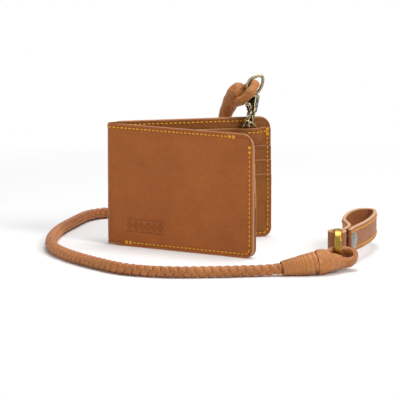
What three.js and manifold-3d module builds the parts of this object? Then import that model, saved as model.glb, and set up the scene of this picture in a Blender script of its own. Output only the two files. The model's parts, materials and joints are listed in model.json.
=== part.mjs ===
// Bifold leather wallet on a braided leather leash.
// Millimetres, +Z up. The origin is the middle of the back cover's lower edge, on the surface it stands on.
// +X runs along the back leaf, away from the fold, and +Y points out through the back cover.
// Every position below is measured from the foot of the fold line, and the whole assembly is shifted
// to the origin at the end.
import * as THREE from 'three';
import { mergeVertices } from 'three/addons/utils/BufferGeometryUtils.js';
import Module from 'manifold-3d';

const wasm = await Module();
wasm.setup();

// ---------------------------------------------------------------- driving dimensions
const DEG = Math.PI / 180;
const FIT = 0.3; // clearance between pieces that rest on or pass through each other

const LEAF_LENGTH = 118;
const LEAF_HEIGHT = 90;
const TOP_CORNER = 9;
const BOTTOM_CORNER = 7;
const EDGE_INSET = 0.4; // the linings stop this far short of the cover's edge
const REST_OPENING = 44; // degrees between the two leaves as the wallet stands
const ORIGIN = new THREE.Vector3(60, 5.8, 0); // from the foot of the fold line

const POCKET_THICKNESS = 0.5;
const PANEL_THICKNESS = 0.7;
const BILL_GAP = 1.2;
const LINING_THICKNESS = 0.4;
const COVER_THICKNESS = 1.2;

const PANEL_HEIGHT = 82;
const SLOT_PITCH = 10.6; // height between one card slot and the next
const UPPER_SLOT_HEIGHT = 68.6;
const POCKET_START = 10; // the pockets stop this far short of the fold
const POCKET_END = LEAF_LENGTH - 1.5;
const POCKET_TAIL = 22; // how far a hidden pocket sheet hangs below its slot
const POCKET_CORNER = 2;
const PANEL_START = 8;
const PANEL_CORNER = 3;

const RING_TAB_X = 100.5; // centre of the hook's ring along the back leaf
const RING_BAR_HEIGHT = 76.2;
const RING_BOW_HEIGHT = 11;
const RING_WIDTH = 11;
const RING_WIRE = 1.2;
const RING_LEAN = 13.5; // degrees the ring leans towards the inside of the wallet

const HOOK_LEAN = 10; // degrees from upright, towards the free edge
const HOOK_TURN = 55; // degrees the hook is turned out of the leaf's plane
const HOOK_THICKNESS = 2.4;
const CLAW_INNER = 3;
const CLAW_OUTER = 4.45;
const HEAD_BOTTOM = 13;
const HEAD_TOP = 19;
const TRIGGER_PIVOT = new THREE.Vector2(0.3, 9.5);
const TRIGGER_PIN_RADIUS = 0.7;
const STEM_RADIUS = 1.1;
const BUTTON_RADIUS = 1.8; // the stem's peened end, below the hook's head
const BAIL_WIRE = 2;

const CORD_RADIUS = 4.25;
const CORD_HEIGHT = CORD_RADIUS + 0.05; // height of the cord's centre where it lies down
const LACE_RADIUS = 2.1;

const BELT_RING_OUTER = 11.6;
const BELT_RING_INNER = 10;
const BELT_RING_WIDTH = 4.8;
const BELT_RING_HEIGHT = 17; // height of the ring's centre
const BELT_STRAP_WIDTH = 17;
const STRAP_THICKNESS = 1.8;
const SNAP_AT = 23; // distance from the belt ring's centre to the snap, along the strap

// ---------------------------------------------------------------- materials
const leather = (color) => new THREE.MeshStandardMaterial({ color, roughness: 0.62, metalness: 0 });
const metal = (color) => new THREE.MeshStandardMaterial({ color, roughness: 0.38, metalness: 1 });
const TAN = 0xa9652f;
const PALE_TAN = 0xb9763f;
const BRASS = 0x8d7440;
const BRIGHT_BRASS = 0xc9a650;
const STEEL = 0xb8b6b0;

// ---------------------------------------------------------------- solids
const box = (x, y, z) => new THREE.BoxGeometry(x, y, z);

function toSolid(geometry) {
  const plain = geometry.index ? geometry.toNonIndexed() : geometry.clone();
  plain.deleteAttribute('normal');
  plain.deleteAttribute('uv');
  const merged = mergeVertices(plain, 1e-4);
  const triangles = [];
  const index = merged.index.array;
  for (let i = 0; i < index.length; i += 3) {
    const [a, b, c] = [index[i], index[i + 1], index[i + 2]];
    if (a !== b && b !== c && c !== a) triangles.push(a, b, c);
  }
  return new wasm.Manifold(new wasm.Mesh({
    numProp: 3,
    vertProperties: new Float32Array(merged.attributes.position.array),
    triVerts: new Uint32Array(triangles),
  }));
}

function toGeometry(solid) {
  const mesh = solid.getMesh();
  const geometry = new THREE.BufferGeometry();
  geometry.setAttribute('position', new THREE.BufferAttribute(mesh.vertProperties, 3));
  geometry.setIndex(new THREE.BufferAttribute(mesh.triVerts, 1));
  geometry.computeVertexNormals();
  return geometry;
}

function piece(name, solid, material) {
  const mesh = new THREE.Mesh(toGeometry(solid), material);
  mesh.name = name;
  return mesh;
}

const join = (first, ...rest) => rest.reduce((body, other) => body.add(other), first);

function cylinderAlong(axis, radius, length, centre, sides = 24) {
  const geometry = new THREE.CylinderGeometry(radius, radius, length, sides);
  if (axis === 'x') geometry.rotateZ(Math.PI / 2);
  if (axis === 'z') geometry.rotateX(Math.PI / 2);
  return toSolid(geometry.translate(centre.x, centre.y, centre.z));
}

const boxBetween = (low, high) => toSolid(
  box(high.x - low.x, high.y - low.y, high.z - low.z)
    .translate((low.x + high.x) / 2, (low.y + high.y) / 2, (low.z + high.z) / 2),
);

function discShape(radius, sides) {
  const points = [];
  for (let i = 0; i < sides; i += 1) {
    const angle = (i / sides) * 2 * Math.PI;
    points.push(new THREE.Vector2(radius * Math.cos(angle), radius * Math.sin(angle)));
  }
  return new THREE.Shape(points);
}

// A round cord or wire along an open curve.
function tube(curve, radius, steps, sides = 14) {
  const options = { steps, extrudePath: curve, bevelEnabled: false };
  return toSolid(new THREE.ExtrudeGeometry(discShape(radius, sides), options));
}

// A closed loop of round wire, made from two overlapping halves of one closed curve.
function wireLoop(points, radius, sides = 12) {
  const curve = new THREE.CatmullRomCurve3(points, true, 'catmullrom', 0.5);
  const [spans, steps] = [16, 26];
  const half = (from, to) => {
    const samples = [];
    for (let i = 0; i <= spans; i += 1) {
      samples.push(curve.getPoint((from + ((to - from) * i) / spans) % 1));
    }
    return tube(new THREE.CatmullRomCurve3(samples), radius, steps, sides);
  };
  return half(0.01, 0.53).add(half(0.49, 1.03));
}

// Bends a lathed body, whose axis is its local Y from 0 to length, along a curve.
function bentLathe(profile, curve, length, sides = 28) {
  const geometry = new THREE.LatheGeometry(profile.map(([r, y]) => new THREE.Vector2(r, y)), sides);
  const position = geometry.attributes.position;
  const up = new THREE.Vector3(0, 0, 1);
  for (let i = 0; i < position.count; i += 1) {
    const t = Math.min(1, Math.max(0, position.getY(i) / length));
    const point = curve.getPointAt(t);
    const tangent = curve.getTangentAt(t);
    const side = new THREE.Vector3().crossVectors(tangent, up).normalize();
    const over = new THREE.Vector3().crossVectors(side, tangent);
    point.addScaledVector(side, position.getX(i)).addScaledVector(over, position.getZ(i));
    position.setXYZ(i, point.x, point.y, point.z);
  }
  return toSolid(facingOut(geometry));
}

// Turns every triangle round if the body's faces look inwards.
function facingOut(geometry) {
  const plain = geometry.toNonIndexed();
  const position = plain.attributes.position;
  const corner = (i) => new THREE.Vector3().fromBufferAttribute(position, i);
  let volume = 0;
  for (let i = 0; i < position.count; i += 3) {
    volume += corner(i).dot(corner(i + 1).cross(corner(i + 2)));
  }
  if (volume > 0) return plain;
  for (let i = 0; i < position.count; i += 3) {
    const [second, third] = [corner(i + 1), corner(i + 2)];
    position.setXYZ(i + 1, third.x, third.y, third.z);
    position.setXYZ(i + 2, second.x, second.y, second.z);
  }
  return plain;
}

// An upright outline, drawn in X and Z, made into a sheet whose faces look along Y.
function sheet(shape, yLow, thickness) {
  const options = { depth: thickness, bevelEnabled: false, curveSegments: 8 };
  const geometry = new THREE.ExtrudeGeometry(shape, options);
  geometry.rotateX(Math.PI / 2);
  return toSolid(geometry.translate(0, yLow + thickness, 0));
}

// ---------------------------------------------------------------- wallet leaves
// A leaf is a stack of sheets. Its inner face lies near Y = 0 and it grows outwards to its cover.
function leafLayers() {
  const layers = {};
  const innerFace = 0.2;
  let level = innerFace;
  const add = (name, thickness, gapAfter) => {
    layers[name] = { low: level, thickness };
    level += thickness + gapAfter;
  };
  add('pocket_front', POCKET_THICKNESS, FIT);
  add('pocket_middle', POCKET_THICKNESS, FIT);
  add('pocket_upper', POCKET_THICKNESS, FIT);
  add('inner_panel', PANEL_THICKNESS, BILL_GAP);
  add('lining', LINING_THICKNESS, FIT);
  add('cover', COVER_THICKNESS, 0);
  return layers;
}

const LAYERS = leafLayers();

function leafOutline(start, end, low, high, topRadius, bottomRadius) {
  const shape = new THREE.Shape();
  shape.moveTo(start, low);
  shape.lineTo(end - bottomRadius, low);
  shape.absarc(end - bottomRadius, low + bottomRadius, bottomRadius, -Math.PI / 2, 0, false);
  shape.lineTo(end, high - topRadius);
  shape.absarc(end - topRadius, high - topRadius, topRadius, 0, Math.PI / 2, false);
  shape.lineTo(start, high);
  shape.closePath();
  return shape;
}

function layerSheet(layer, outline, side) {
  const { low, thickness } = LAYERS[layer];
  return sheet(outline, side > 0 ? low : -(low + thickness), thickness);
}

// The inner panel bulges over the leash's ring, so that the ring stands free behind it.
function bulgeOverRing(panel) {
  const { low, thickness } = LAYERS.inner_panel;
  const roomBeside = 3;
  const halfWidth = RING_WIDTH / 2 + roomBeside;
  const wall = PANEL_THICKNESS;
  const face = -1.4; // how far the bulge reaches past the leaf's inner side
  const foot = UPPER_SLOT_HEIGHT + 1;
  const outer = boxBetween(
    new THREE.Vector3(RING_TAB_X - halfWidth, face, foot),
    new THREE.Vector3(RING_TAB_X + halfWidth, low + thickness / 2, PANEL_HEIGHT),
  );
  const hollow = boxBetween(
    new THREE.Vector3(RING_TAB_X - halfWidth + wall, face + wall, foot + wall),
    new THREE.Vector3(RING_TAB_X + halfWidth - wall, low + thickness + 1, PANEL_HEIGHT + 1),
  );
  return panel.add(outer).subtract(hollow);
}

function walletLeaf(prefix, side) {
  const leaf = new THREE.Group();
  const middleSlot = UPPER_SLOT_HEIGHT - SLOT_PITCH;
  const frontSlot = middleSlot - SLOT_PITCH;
  const [coverStart, liningStart, frontPocketFoot] = [0.3, 2, 0.6];
  const inner = LEAF_LENGTH - EDGE_INSET;
  const liningTop = LEAF_HEIGHT - EDGE_INSET;
  const pocket = (high) => leafOutline(
    POCKET_START, POCKET_END, high - POCKET_TAIL, high, POCKET_CORNER, POCKET_CORNER,
  );
  const outlines = {
    cover: leafOutline(coverStart, LEAF_LENGTH, 0, LEAF_HEIGHT, TOP_CORNER, BOTTOM_CORNER),
    lining: leafOutline(liningStart, inner, EDGE_INSET, liningTop, TOP_CORNER, BOTTOM_CORNER),
    inner_panel: leafOutline(PANEL_START, inner, EDGE_INSET, PANEL_HEIGHT, PANEL_CORNER, BOTTOM_CORNER),
    pocket_upper: pocket(UPPER_SLOT_HEIGHT),
    pocket_middle: pocket(middleSlot),
    pocket_front: leafOutline(
      POCKET_START, POCKET_END, frontPocketFoot, frontSlot, POCKET_CORNER, BOTTOM_CORNER,
    ),
  };
  for (const [layer, outline] of Object.entries(outlines)) {
    let body = layerSheet(layer, outline, side);
    if (layer === 'inner_panel' && side > 0) body = bulgeOverRing(body);
    leaf.add(piece(`${prefix}_${layer}`, body, leather(layer === 'cover' ? TAN : PALE_TAN)));
  }
  return leaf;
}

// ---------------------------------------------------------------- ring inside the bill compartment
const RING_BAR = new THREE.Vector3(RING_TAB_X, 2.4, RING_BAR_HEIGHT);

// A leather tongue sewn to the lining, with an eye round the ring's straight bar.
function ringTab() {
  const width = 6.5;
  const bore = 1.3;
  const wall = 0.6;
  const tongueThickness = 0.65;
  const tongueLength = 17;
  const eye = bore + wall;
  const tongueBack = RING_BAR.y + eye;
  const tongue = boxBetween(
    new THREE.Vector3(RING_BAR.x - width / 2, tongueBack - tongueThickness, RING_BAR.z - tongueLength),
    new THREE.Vector3(RING_BAR.x + width / 2, tongueBack, RING_BAR.z),
  );
  return cylinderAlong('x', eye, width, RING_BAR)
    .add(tongue)
    .subtract(cylinderAlong('x', bore, width + 2, RING_BAR));
}

function dRing() {
  const outer = new THREE.Shape();
  const half = RING_WIDTH / 2;
  const shoulder = RING_BOW_HEIGHT - half;
  outer.moveTo(-half, -RING_WIRE / 2);
  outer.lineTo(half, -RING_WIRE / 2);
  outer.lineTo(half, shoulder);
  outer.absarc(0, shoulder, half, 0, Math.PI, false);
  outer.closePath();
  const hole = new THREE.Path();
  const inside = half - RING_WIRE;
  hole.moveTo(-inside, RING_WIRE / 2);
  hole.lineTo(inside, RING_WIRE / 2);
  hole.lineTo(inside, shoulder);
  hole.absarc(0, shoulder, inside, 0, Math.PI, false);
  hole.closePath();
  outer.holes.push(hole);
  return sheet(outer, -RING_WIRE / 2, RING_WIRE);
}

function buildRing() {
  const group = new THREE.Group();
  group.position.copy(RING_BAR);
  group.rotation.x = RING_LEAN * DEG;
  group.add(piece('d_ring', dRing(), metal(BRASS)));
  return group;
}

// ---------------------------------------------------------------- trigger hook
// In the hook's own frame the claw's centre is the origin, Z runs up the shank and X across the claw.
function hookOutline(points, thickness) {
  return sheet(new THREE.Shape(points.map(([x, z]) => new THREE.Vector2(x, z))), -thickness / 2, thickness);
}

function pivotBore(radius, length) {
  return cylinderAlong('y', radius, length, new THREE.Vector3(TRIGGER_PIVOT.x, 0, TRIGGER_PIVOT.y), 20);
}

function hookBody() {
  const origin = new THREE.Vector3();
  const [left, right] = [-3.1, CLAW_OUTER];
  const headWidth = 5.8;
  const spineThickness = 1.5;
  const slotRight = right - spineThickness;
  const cheekTop = HEAD_BOTTOM + 1;
  const mouth = [[-7, -0.6], [0, -0.6], [1.8, 2.6], [1.8, 7], [-7, 7]];
  const claw = cylinderAlong('y', CLAW_OUTER, HOOK_THICKNESS, origin, 36)
    .subtract(cylinderAlong('y', CLAW_INNER, HOOK_THICKNESS + 2, origin, 30))
    .subtract(hookOutline(mouth, HOOK_THICKNESS + 2));
  const spine = hookOutline(
    [[CLAW_INNER, -1], [right, -1], [right, cheekTop], [slotRight, cheekTop]],
    HOOK_THICKNESS,
  );
  const head = boxBetween(
    new THREE.Vector3(left, -headWidth / 2, HEAD_BOTTOM),
    new THREE.Vector3(right, headWidth / 2, HEAD_TOP),
  );
  const cheekOutline = [[-1.8, 7.6], [0.4, 6.8], [right, 6.8], [right, cheekTop], [left, cheekTop]];
  const slot = [[-6, 5], [slotRight, 5], [slotRight, HEAD_BOTTOM], [-6, HEAD_BOTTOM]];
  const cheeks = hookOutline(cheekOutline, headWidth).subtract(hookOutline(slot, HOOK_THICKNESS));
  const boreCentre = new THREE.Vector3(0, 0, (HEAD_BOTTOM + HEAD_TOP) / 2);
  const buttonDepth = 2.4;
  const buttonCentre = new THREE.Vector3(0, 0, HEAD_BOTTOM - buttonDepth / 2);
  const buttonSpace = cylinderAlong('z', BUTTON_RADIUS + FIT, buttonDepth, buttonCentre);
  return join(claw, spine, head, cheeks)
    .subtract(buttonSpace)
    .subtract(cylinderAlong('z', STEM_RADIUS + FIT, 12, boreCentre, 20))
    .subtract(pivotBore(TRIGGER_PIN_RADIUS + FIT, 10));
}

function hookTrigger() {
  const thickness = HOOK_THICKNESS - 2 * FIT;
  const { x, y } = TRIGGER_PIVOT;
  const lever = [[x - 1.8, y - 0.6], [x + 1.2, y - 1.4], [-2.4, -0.1], [-4.4, -0.1]];
  const thumb = [[x - 0.5, y + 1.2], [-4, 10.4], [-10.4, 12.6], [-11, 11.6], [-4.6, 7.4], [x, y - 1.7]];
  const hub = cylinderAlong('y', 1.8, thickness, new THREE.Vector3(x, 0, y), 20);
  return join(hub, hookOutline(lever, thickness), hookOutline(thumb, thickness))
    .subtract(pivotBore(TRIGGER_PIN_RADIUS + FIT, 6));
}

function triggerPin() {
  const length = 5.8;
  return pivotBore(TRIGGER_PIN_RADIUS, length);
}

// A thin leaf that stands behind the trigger, between the claw and the head.
function triggerSpring() {
  const [face, back, halfWidth, foot] = [2.3, 2.6, 0.8, 5.2];
  return boxBetween(
    new THREE.Vector3(face, -halfWidth, foot),
    new THREE.Vector3(back, halfWidth, HEAD_BOTTOM - FIT),
  );
}

function swivelBail() {
  const foot = HEAD_TOP + 1.6;
  // The wire's line as [x, height above the foot], from the foot round by the left.
  const loop = [
    [0, 0], [-3.8, 0.4], [-5.7, 3], [-5.9, 6.4], [-4.8, 9.6], [-1, 12.4], [2.6, 13.6], [4.6, 11.6],
    [4.7, 6.5], [2.8, 1.6],
  ];
  const wire = wireLoop(loop.map(([x, z]) => new THREE.Vector3(x, 0, foot + z)), BAIL_WIRE / 2);
  const sides = 20;
  const buttonTop = HEAD_BOTTOM - FIT;
  const buttonHeight = 0.9;
  const stemCentre = new THREE.Vector3(0, 0, (foot + buttonTop) / 2);
  const buttonCentre = new THREE.Vector3(0, 0, buttonTop - 0.4);
  const stem = cylinderAlong('z', STEM_RADIUS, foot - buttonTop, stemCentre, sides);
  const button = cylinderAlong('z', BUTTON_RADIUS, buttonHeight, buttonCentre, sides);
  return join(wire, stem, button);
}

function buildHook() {
  const lean = new THREE.Group();
  const bowTop = RING_BOW_HEIGHT - RING_WIRE / 2;
  const wireHeight = RING_BAR.z + bowTop * Math.cos(RING_LEAN * DEG);
  const clawRest = CLAW_INNER - RING_WIRE / 2 - 1.1; // the ring lies low in the claw
  lean.position.set(RING_TAB_X, RING_BAR.y - bowTop * Math.sin(RING_LEAN * DEG), wireHeight + clawRest);
  lean.rotation.y = HOOK_LEAN * DEG;
  const turned = new THREE.Group();
  turned.rotation.z = HOOK_TURN * DEG;
  turned.add(piece('hook_body', hookBody(), metal(BRASS)));
  turned.add(piece('hook_trigger', hookTrigger(), metal(BRASS)));
  turned.add(piece('trigger_pin', triggerPin(), metal(BRASS)));
  turned.add(piece('trigger_spring', triggerSpring(), metal(STEEL)));
  lean.add(turned, piece('swivel_bail', swivelBail(), metal(BRASS)));
  return lean;
}

// ---------------------------------------------------------------- leash
const at = (x, y, z = CORD_HEIGHT) => new THREE.Vector3(x, y, z);

// The leather eye that hangs on the bail, and the direction in which its collar leaves it.
const EYE_CENTRE = at(98.3, 1.5, 108.1);
const EYE_OUT = new THREE.Vector3(0.6, -0.43, 0.68).normalize();
const EYE_ACROSS = new THREE.Vector3(0, 1, 0).addScaledVector(EYE_OUT, -EYE_OUT.y).normalize();

// Points where the cord bends when the leash is moved.
const BEND_BACK = at(-12, 84);
const BEND_LEFT = at(-37, -95);
const BEND_RIGHT = at(70, -152);

function topLoop() {
  const [halfLength, halfWidth] = [8.8, 6.3];
  const count = 10;
  const points = [];
  for (let i = 0; i < count; i += 1) {
    const angle = (i / count) * 2 * Math.PI;
    points.push(EYE_CENTRE.clone()
      .addScaledVector(EYE_OUT, halfLength * Math.cos(angle))
      .addScaledVector(EYE_ACROSS, halfWidth * Math.sin(angle)));
  }
  return wireLoop(points, LACE_RADIUS);
}

const COLLAR_GAP = 11.2; // from the eye's centre to the collar
const COLLAR_TOP = EYE_CENTRE.clone().addScaledVector(EYE_OUT, -COLLAR_GAP);
const COLLAR_BEND = COLLAR_TOP.clone().addScaledVector(EYE_OUT, -9);
const COLLAR_FOOT = at(86, 17, 89);
const COLLAR_EXIT = COLLAR_FOOT.clone().sub(COLLAR_BEND).normalize();

function topCollar() {
  const curve = new THREE.QuadraticBezierCurve3(COLLAR_TOP, COLLAR_BEND, COLLAR_FOOT);
  const length = curve.getLength();
  const profile = [[0, 0], [5.2, 0], [6.1, 2.5], [6, length * 0.5], [5.2, length], [0, length]];
  return bentLathe(profile, curve, length);
}

// A length of braided cord. It ends in a ball where the next length turns about it.
function cord(points, ballAtEnd) {
  const [stepLength, sides, rows] = [7, 16, 12];
  const curve = new THREE.CatmullRomCurve3(points, false, 'centripetal');
  const steps = Math.ceil(curve.getLength() / stepLength);
  const body = tube(curve, CORD_RADIUS, steps, sides);
  if (!ballAtEnd) return body;
  const end = points[points.length - 1];
  const ball = new THREE.SphereGeometry(CORD_RADIUS, sides, rows).translate(end.x, end.y, end.z);
  return body.add(toSolid(ball));
}

// The first point of a length that turns about a ball: clear of the ball, towards the next point.
function clearOf(ball, next) {
  const heading = next.clone().sub(ball).normalize();
  return ball.clone().addScaledVector(heading, CORD_RADIUS + FIT);
}

function cordDrop() {
  const start = COLLAR_FOOT.clone().addScaledVector(COLLAR_EXIT, FIT);
  const straight = start.clone().addScaledVector(COLLAR_EXIT, 10);
  const descent = [at(80, 32, 56), at(72, 48, 26), at(58, 74, 7)];
  return cord([start, straight, ...descent, at(40, 98), at(20, 111), at(0, 102), BEND_BACK], true);
}

function cordSide() {
  const next = at(-33, 46);
  return cord([clearOf(BEND_BACK, next), next, at(-47, 8), at(-53.5, -28), at(-48, -64), BEND_LEFT], true);
}

function cordFront() {
  const next = at(-22, -123);
  return cord([clearOf(BEND_LEFT, next), next, at(4, -141), at(36, -148.5), BEND_RIGHT], true);
}

// The tail rises towards its collar, because the wrapping and the collar are thicker than the cord.
const WRAP_START = at(82, -153.6, 5.1);
const WRAP_END = at(108, -155, 8.4);
const TAIL_COLLAR_END = at(115.9, -150.6, 9.4);
const [WRAP_THIN, WRAP_THICK] = [5, 8.1]; // the wrapping's radius at its two ends

function tailCord() {
  const end = WRAP_END.clone().lerp(WRAP_START, 0.02);
  return cord([clearOf(BEND_RIGHT, WRAP_START), WRAP_START.clone().lerp(BEND_RIGHT, 0.05), end], false);
}

function wrapLace() {
  const curve = new THREE.LineCurve3(WRAP_START, WRAP_END);
  const length = curve.getLength();
  const inner = CORD_RADIUS + FIT;
  const profile = [[inner, 0], [WRAP_THIN, 0], [WRAP_THICK, length], [inner, length], [inner, 0]];
  return bentLathe(profile, curve, length);
}

function endCollar() {
  const direction = WRAP_END.clone().sub(WRAP_START).normalize();
  const start = WRAP_END.clone().addScaledVector(direction, FIT);
  const bend = start.clone().addScaledVector(direction, 4);
  const curve = new THREE.QuadraticBezierCurve3(start, bend, TAIL_COLLAR_END);
  const length = curve.getLength();
  const profile = [
    [0, 0], [WRAP_THICK, 0], [8.8, length * 0.35], [8.3, length * 0.75], [6.8, length], [0, length],
  ];
  return bentLathe(profile, curve, length);
}

// The flat leather loop at the tail, standing on one edge and tipped back so that the ring can pass.
function endLoop() {
  const group = new THREE.Group();
  const [straight, turnRadius, thickness, width] = [5, 6.4, 2.3, 7.6];
  const track = (radius) => {
    const shape = new THREE.Shape();
    shape.moveTo(-straight, -radius);
    shape.lineTo(straight, -radius);
    shape.absarc(straight, 0, radius, -Math.PI / 2, Math.PI / 2, false);
    shape.lineTo(-straight, radius);
    shape.absarc(-straight, 0, radius, Math.PI / 2, 1.5 * Math.PI, false);
    return shape;
  };
  const outline = track(turnRadius);
  outline.holes.push(track(turnRadius - thickness));
  const options = { depth: width, bevelEnabled: false, curveSegments: 10 };
  const geometry = new THREE.ExtrudeGeometry(outline, options);
  geometry.translate(0, 0, -width / 2);
  const [tip, turn] = [33 * DEG, 12 * DEG];
  group.add(piece('end_loop', toSolid(geometry), leather(TAN)));
  group.position.set(128.1, -144.9, 9.6);
  group.rotation.set(tip, 0, turn, 'ZYX');
  return group;
}

// ---------------------------------------------------------------- belt ring and belt strap
// In the strap's own frame the ring's centre is the origin, X runs along the strap and Z is up.
const BELT_END = at(128.7, -136.1, BELT_RING_HEIGHT);
const STRAP_AZIMUTH = 58;
const RING_AZIMUTH = 76; // direction of the ring's plane, seen from above
const RING_TURN = (RING_AZIMUTH - STRAP_AZIMUTH) * DEG;
const FLAP_LEVEL = -4.2; // where the flap's centre lies at the snap; the strap's own centre lies at 0
const STRAP_BEND = new THREE.Vector2(107, 7);
const EYE_OFFSET = 8.6;

function beltRing() {
  const half = BELT_RING_WIDTH / 2;
  const edge = 0.4;
  const profile = [
    [BELT_RING_INNER, -half],
    [BELT_RING_OUTER - edge, -half],
    [BELT_RING_OUTER, -half + edge],
    [BELT_RING_OUTER, half - edge],
    [BELT_RING_OUTER - edge, half],
    [BELT_RING_INNER, half],
    [BELT_RING_INNER, -half],
  ];
  const points = profile.map(([r, y]) => new THREE.Vector2(r, y));
  return toSolid(facingOut(new THREE.LatheGeometry(points, 48)));
}

// A shape drawn in plan, made as high as the strap is wide.
function standing(shape, height = BELT_STRAP_WIDTH) {
  const options = { depth: height, bevelEnabled: false, curveSegments: 14 };
  return toSolid(new THREE.ExtrudeGeometry(shape, options).translate(0, 0, -height / 2));
}

// A strip of strap leather that follows a line drawn in plan.
function strip(points) {
  const line = new THREE.SplineCurve(points.map(([x, y]) => new THREE.Vector2(x, y)));
  const stepLength = 3;
  const steps = Math.ceil(line.getLength() / stepLength);
  const left = [];
  const right = [];
  for (let i = 0; i <= steps; i += 1) {
    const point = line.getPointAt(i / steps);
    const tangent = line.getTangentAt(i / steps);
    const offset = new THREE.Vector2(-tangent.y, tangent.x).multiplyScalar(STRAP_THICKNESS / 2);
    left.push(point.clone().add(offset));
    right.unshift(point.clone().sub(offset));
  }
  return standing(new THREE.Shape([...left, ...right].reverse()));
}

// The strap's eye round the belt ring, as a solid post; its centre stands off the ring's own centre.
function ellipsePost(halfLength, halfWidth, height) {
  const shape = new THREE.Shape();
  const centre = new THREE.Vector2(EYE_OFFSET, 0).rotateAround(new THREE.Vector2(), RING_TURN);
  shape.absellipse(centre.x, centre.y, halfLength, halfWidth, 0, 2 * Math.PI, false, RING_TURN);
  return standing(shape, height);
}

const SNAP_HOLE = 1.3;
const snapHole = (y) => cylinderAlong('y', SNAP_HOLE, 4, new THREE.Vector3(SNAP_AT, y, 0));

// The strap closes round the ring in a small eye, then runs out along the far side of the belt opening.
function beltStrap() {
  const bend = STRAP_BEND;
  const arm = strip([
    [14.2, 3.4], [16.6, 1], [19, 0], [SNAP_AT, 0], [29, 0], [38, 2.2], [48, 7], [59, 11.6], [72, 14.2],
    [86, 15.4], [98, 14.6], [bend.x - 1.6, 11.6], [bend.x, bend.y],
  ]);
  const bendCentre = new THREE.Vector3(bend.x, bend.y, 0);
  const bendEdge = cylinderAlong('z', STRAP_THICKNESS / 2, BELT_STRAP_WIDTH, bendCentre, 16);
  return join(ellipsePost(7, 6.2), arm, bendEdge)
    .subtract(ellipsePost(5.2, 4.4, BELT_STRAP_WIDTH + 2))
    .subtract(snapHole(0));
}

// The near side of the belt opening: free at the ring's end, where the snap holds it.
function beltFlap() {
  const bend = STRAP_BEND;
  const start = bend.y - STRAP_THICKNESS / 2 - FIT;
  return strip([
    [bend.x, start], [bend.x - 2.6, start - 4], [bend.x - 10, -1.2], [84, -3.8], [66, -5.6], [48, -5.6],
    [36, -4.8], [28, FLAP_LEVEL], [SNAP_AT, FLAP_LEVEL], [16.5, FLAP_LEVEL],
  ]).subtract(snapHole(FLAP_LEVEL));
}

// A turned metal piece whose axis crosses the strap at the snap.
function snapTurned(profile) {
  const geometry = facingOut(new THREE.LatheGeometry(profile.map(([r, y]) => new THREE.Vector2(r, y)), 28));
  return toSolid(geometry.translate(SNAP_AT, 0, 0));
}

function snapPieces() {
  const strapFace = STRAP_THICKNESS / 2;
  const flapInner = FLAP_LEVEL + STRAP_THICKNESS / 2;
  const flapOuter = FLAP_LEVEL - STRAP_THICKNESS / 2;
  const shank = 1;
  const socketBase = flapInner + FIT;
  const studBase = -strapFace - FIT;
  const studTop = -2.8;
  const post = snapTurned([
    [0, studBase + 0.1], [shank, studBase + 0.1], [shank, strapFace + FIT], [3.8, strapFace + FIT],
    [3.5, strapFace + 0.9], [0, strapFace + 1.1],
  ]);
  const stud = snapTurned([
    [0, studTop], [1.3, studTop], [1.5, studTop + 0.3], [1.3, studBase - 0.4], [3.8, studBase - 0.4],
    [3.8, studBase - 0.1], [0, studBase - 0.1],
  ]);
  const socket = snapTurned([
    [1.85, socketBase], [4.6, socketBase], [4.6, socketBase + 0.6], [4, socketBase + 1],
    [1.85, socketBase + 1], [1.85, socketBase],
  ]);
  const cap = snapTurned([
    [0, flapOuter - 2.3], [3.2, flapOuter - 2.1], [5.4, flapOuter - 1.4], [6.4, flapOuter - 0.6],
    [6.2, flapOuter - FIT], [shank, flapOuter - FIT], [shank, flapInner + 0.1], [0, flapInner + 0.1],
  ]);
  return { snap_post: post, snap_stud: stud, snap_socket: socket, snap_cap: cap };
}

function buildBeltEnd() {
  const group = new THREE.Group();
  group.position.copy(BELT_END);
  group.rotation.z = STRAP_AZIMUTH * DEG;
  const ring = piece('belt_ring', beltRing(), metal(BRIGHT_BRASS));
  ring.rotation.z = RING_TURN;
  group.add(ring);
  group.add(piece('belt_strap', beltStrap(), leather(TAN)));
  group.add(piece('belt_flap', beltFlap(), leather(TAN)));
  for (const [name, solid] of Object.entries(snapPieces())) {
    group.add(piece(name, solid, metal(STEEL)));
  }
  return group;
}

// ---------------------------------------------------------------- assembly
const wallet = new THREE.Group();
wallet.add(walletLeaf('back', 1));
const frontLeaf = walletLeaf('front', -1);
frontLeaf.rotation.z = -REST_OPENING * DEG;
wallet.add(frontLeaf);

wallet.add(piece('ring_tab', ringTab(), leather(PALE_TAN)));
wallet.add(buildRing());
wallet.add(buildHook());

const leash = {
  top_loop: topLoop,
  top_collar: topCollar,
  cord_drop: cordDrop,
  cord_side: cordSide,
  cord_front: cordFront,
  cord_tail: tailCord,
  wrap_lace: wrapLace,
  end_collar: endCollar,
};
for (const [name, shape] of Object.entries(leash)) wallet.add(piece(name, shape(), leather(TAN)));
wallet.add(endLoop());
wallet.add(buildBeltEnd());
wallet.position.copy(ORIGIN).negate();

const assembly = new THREE.Group();
assembly.add(wallet);

export default assembly;
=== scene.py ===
import json
import math

import bmesh
import bpy
import numpy as np
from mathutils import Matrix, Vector
from mathutils.bvhtree import BVHTree


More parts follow.
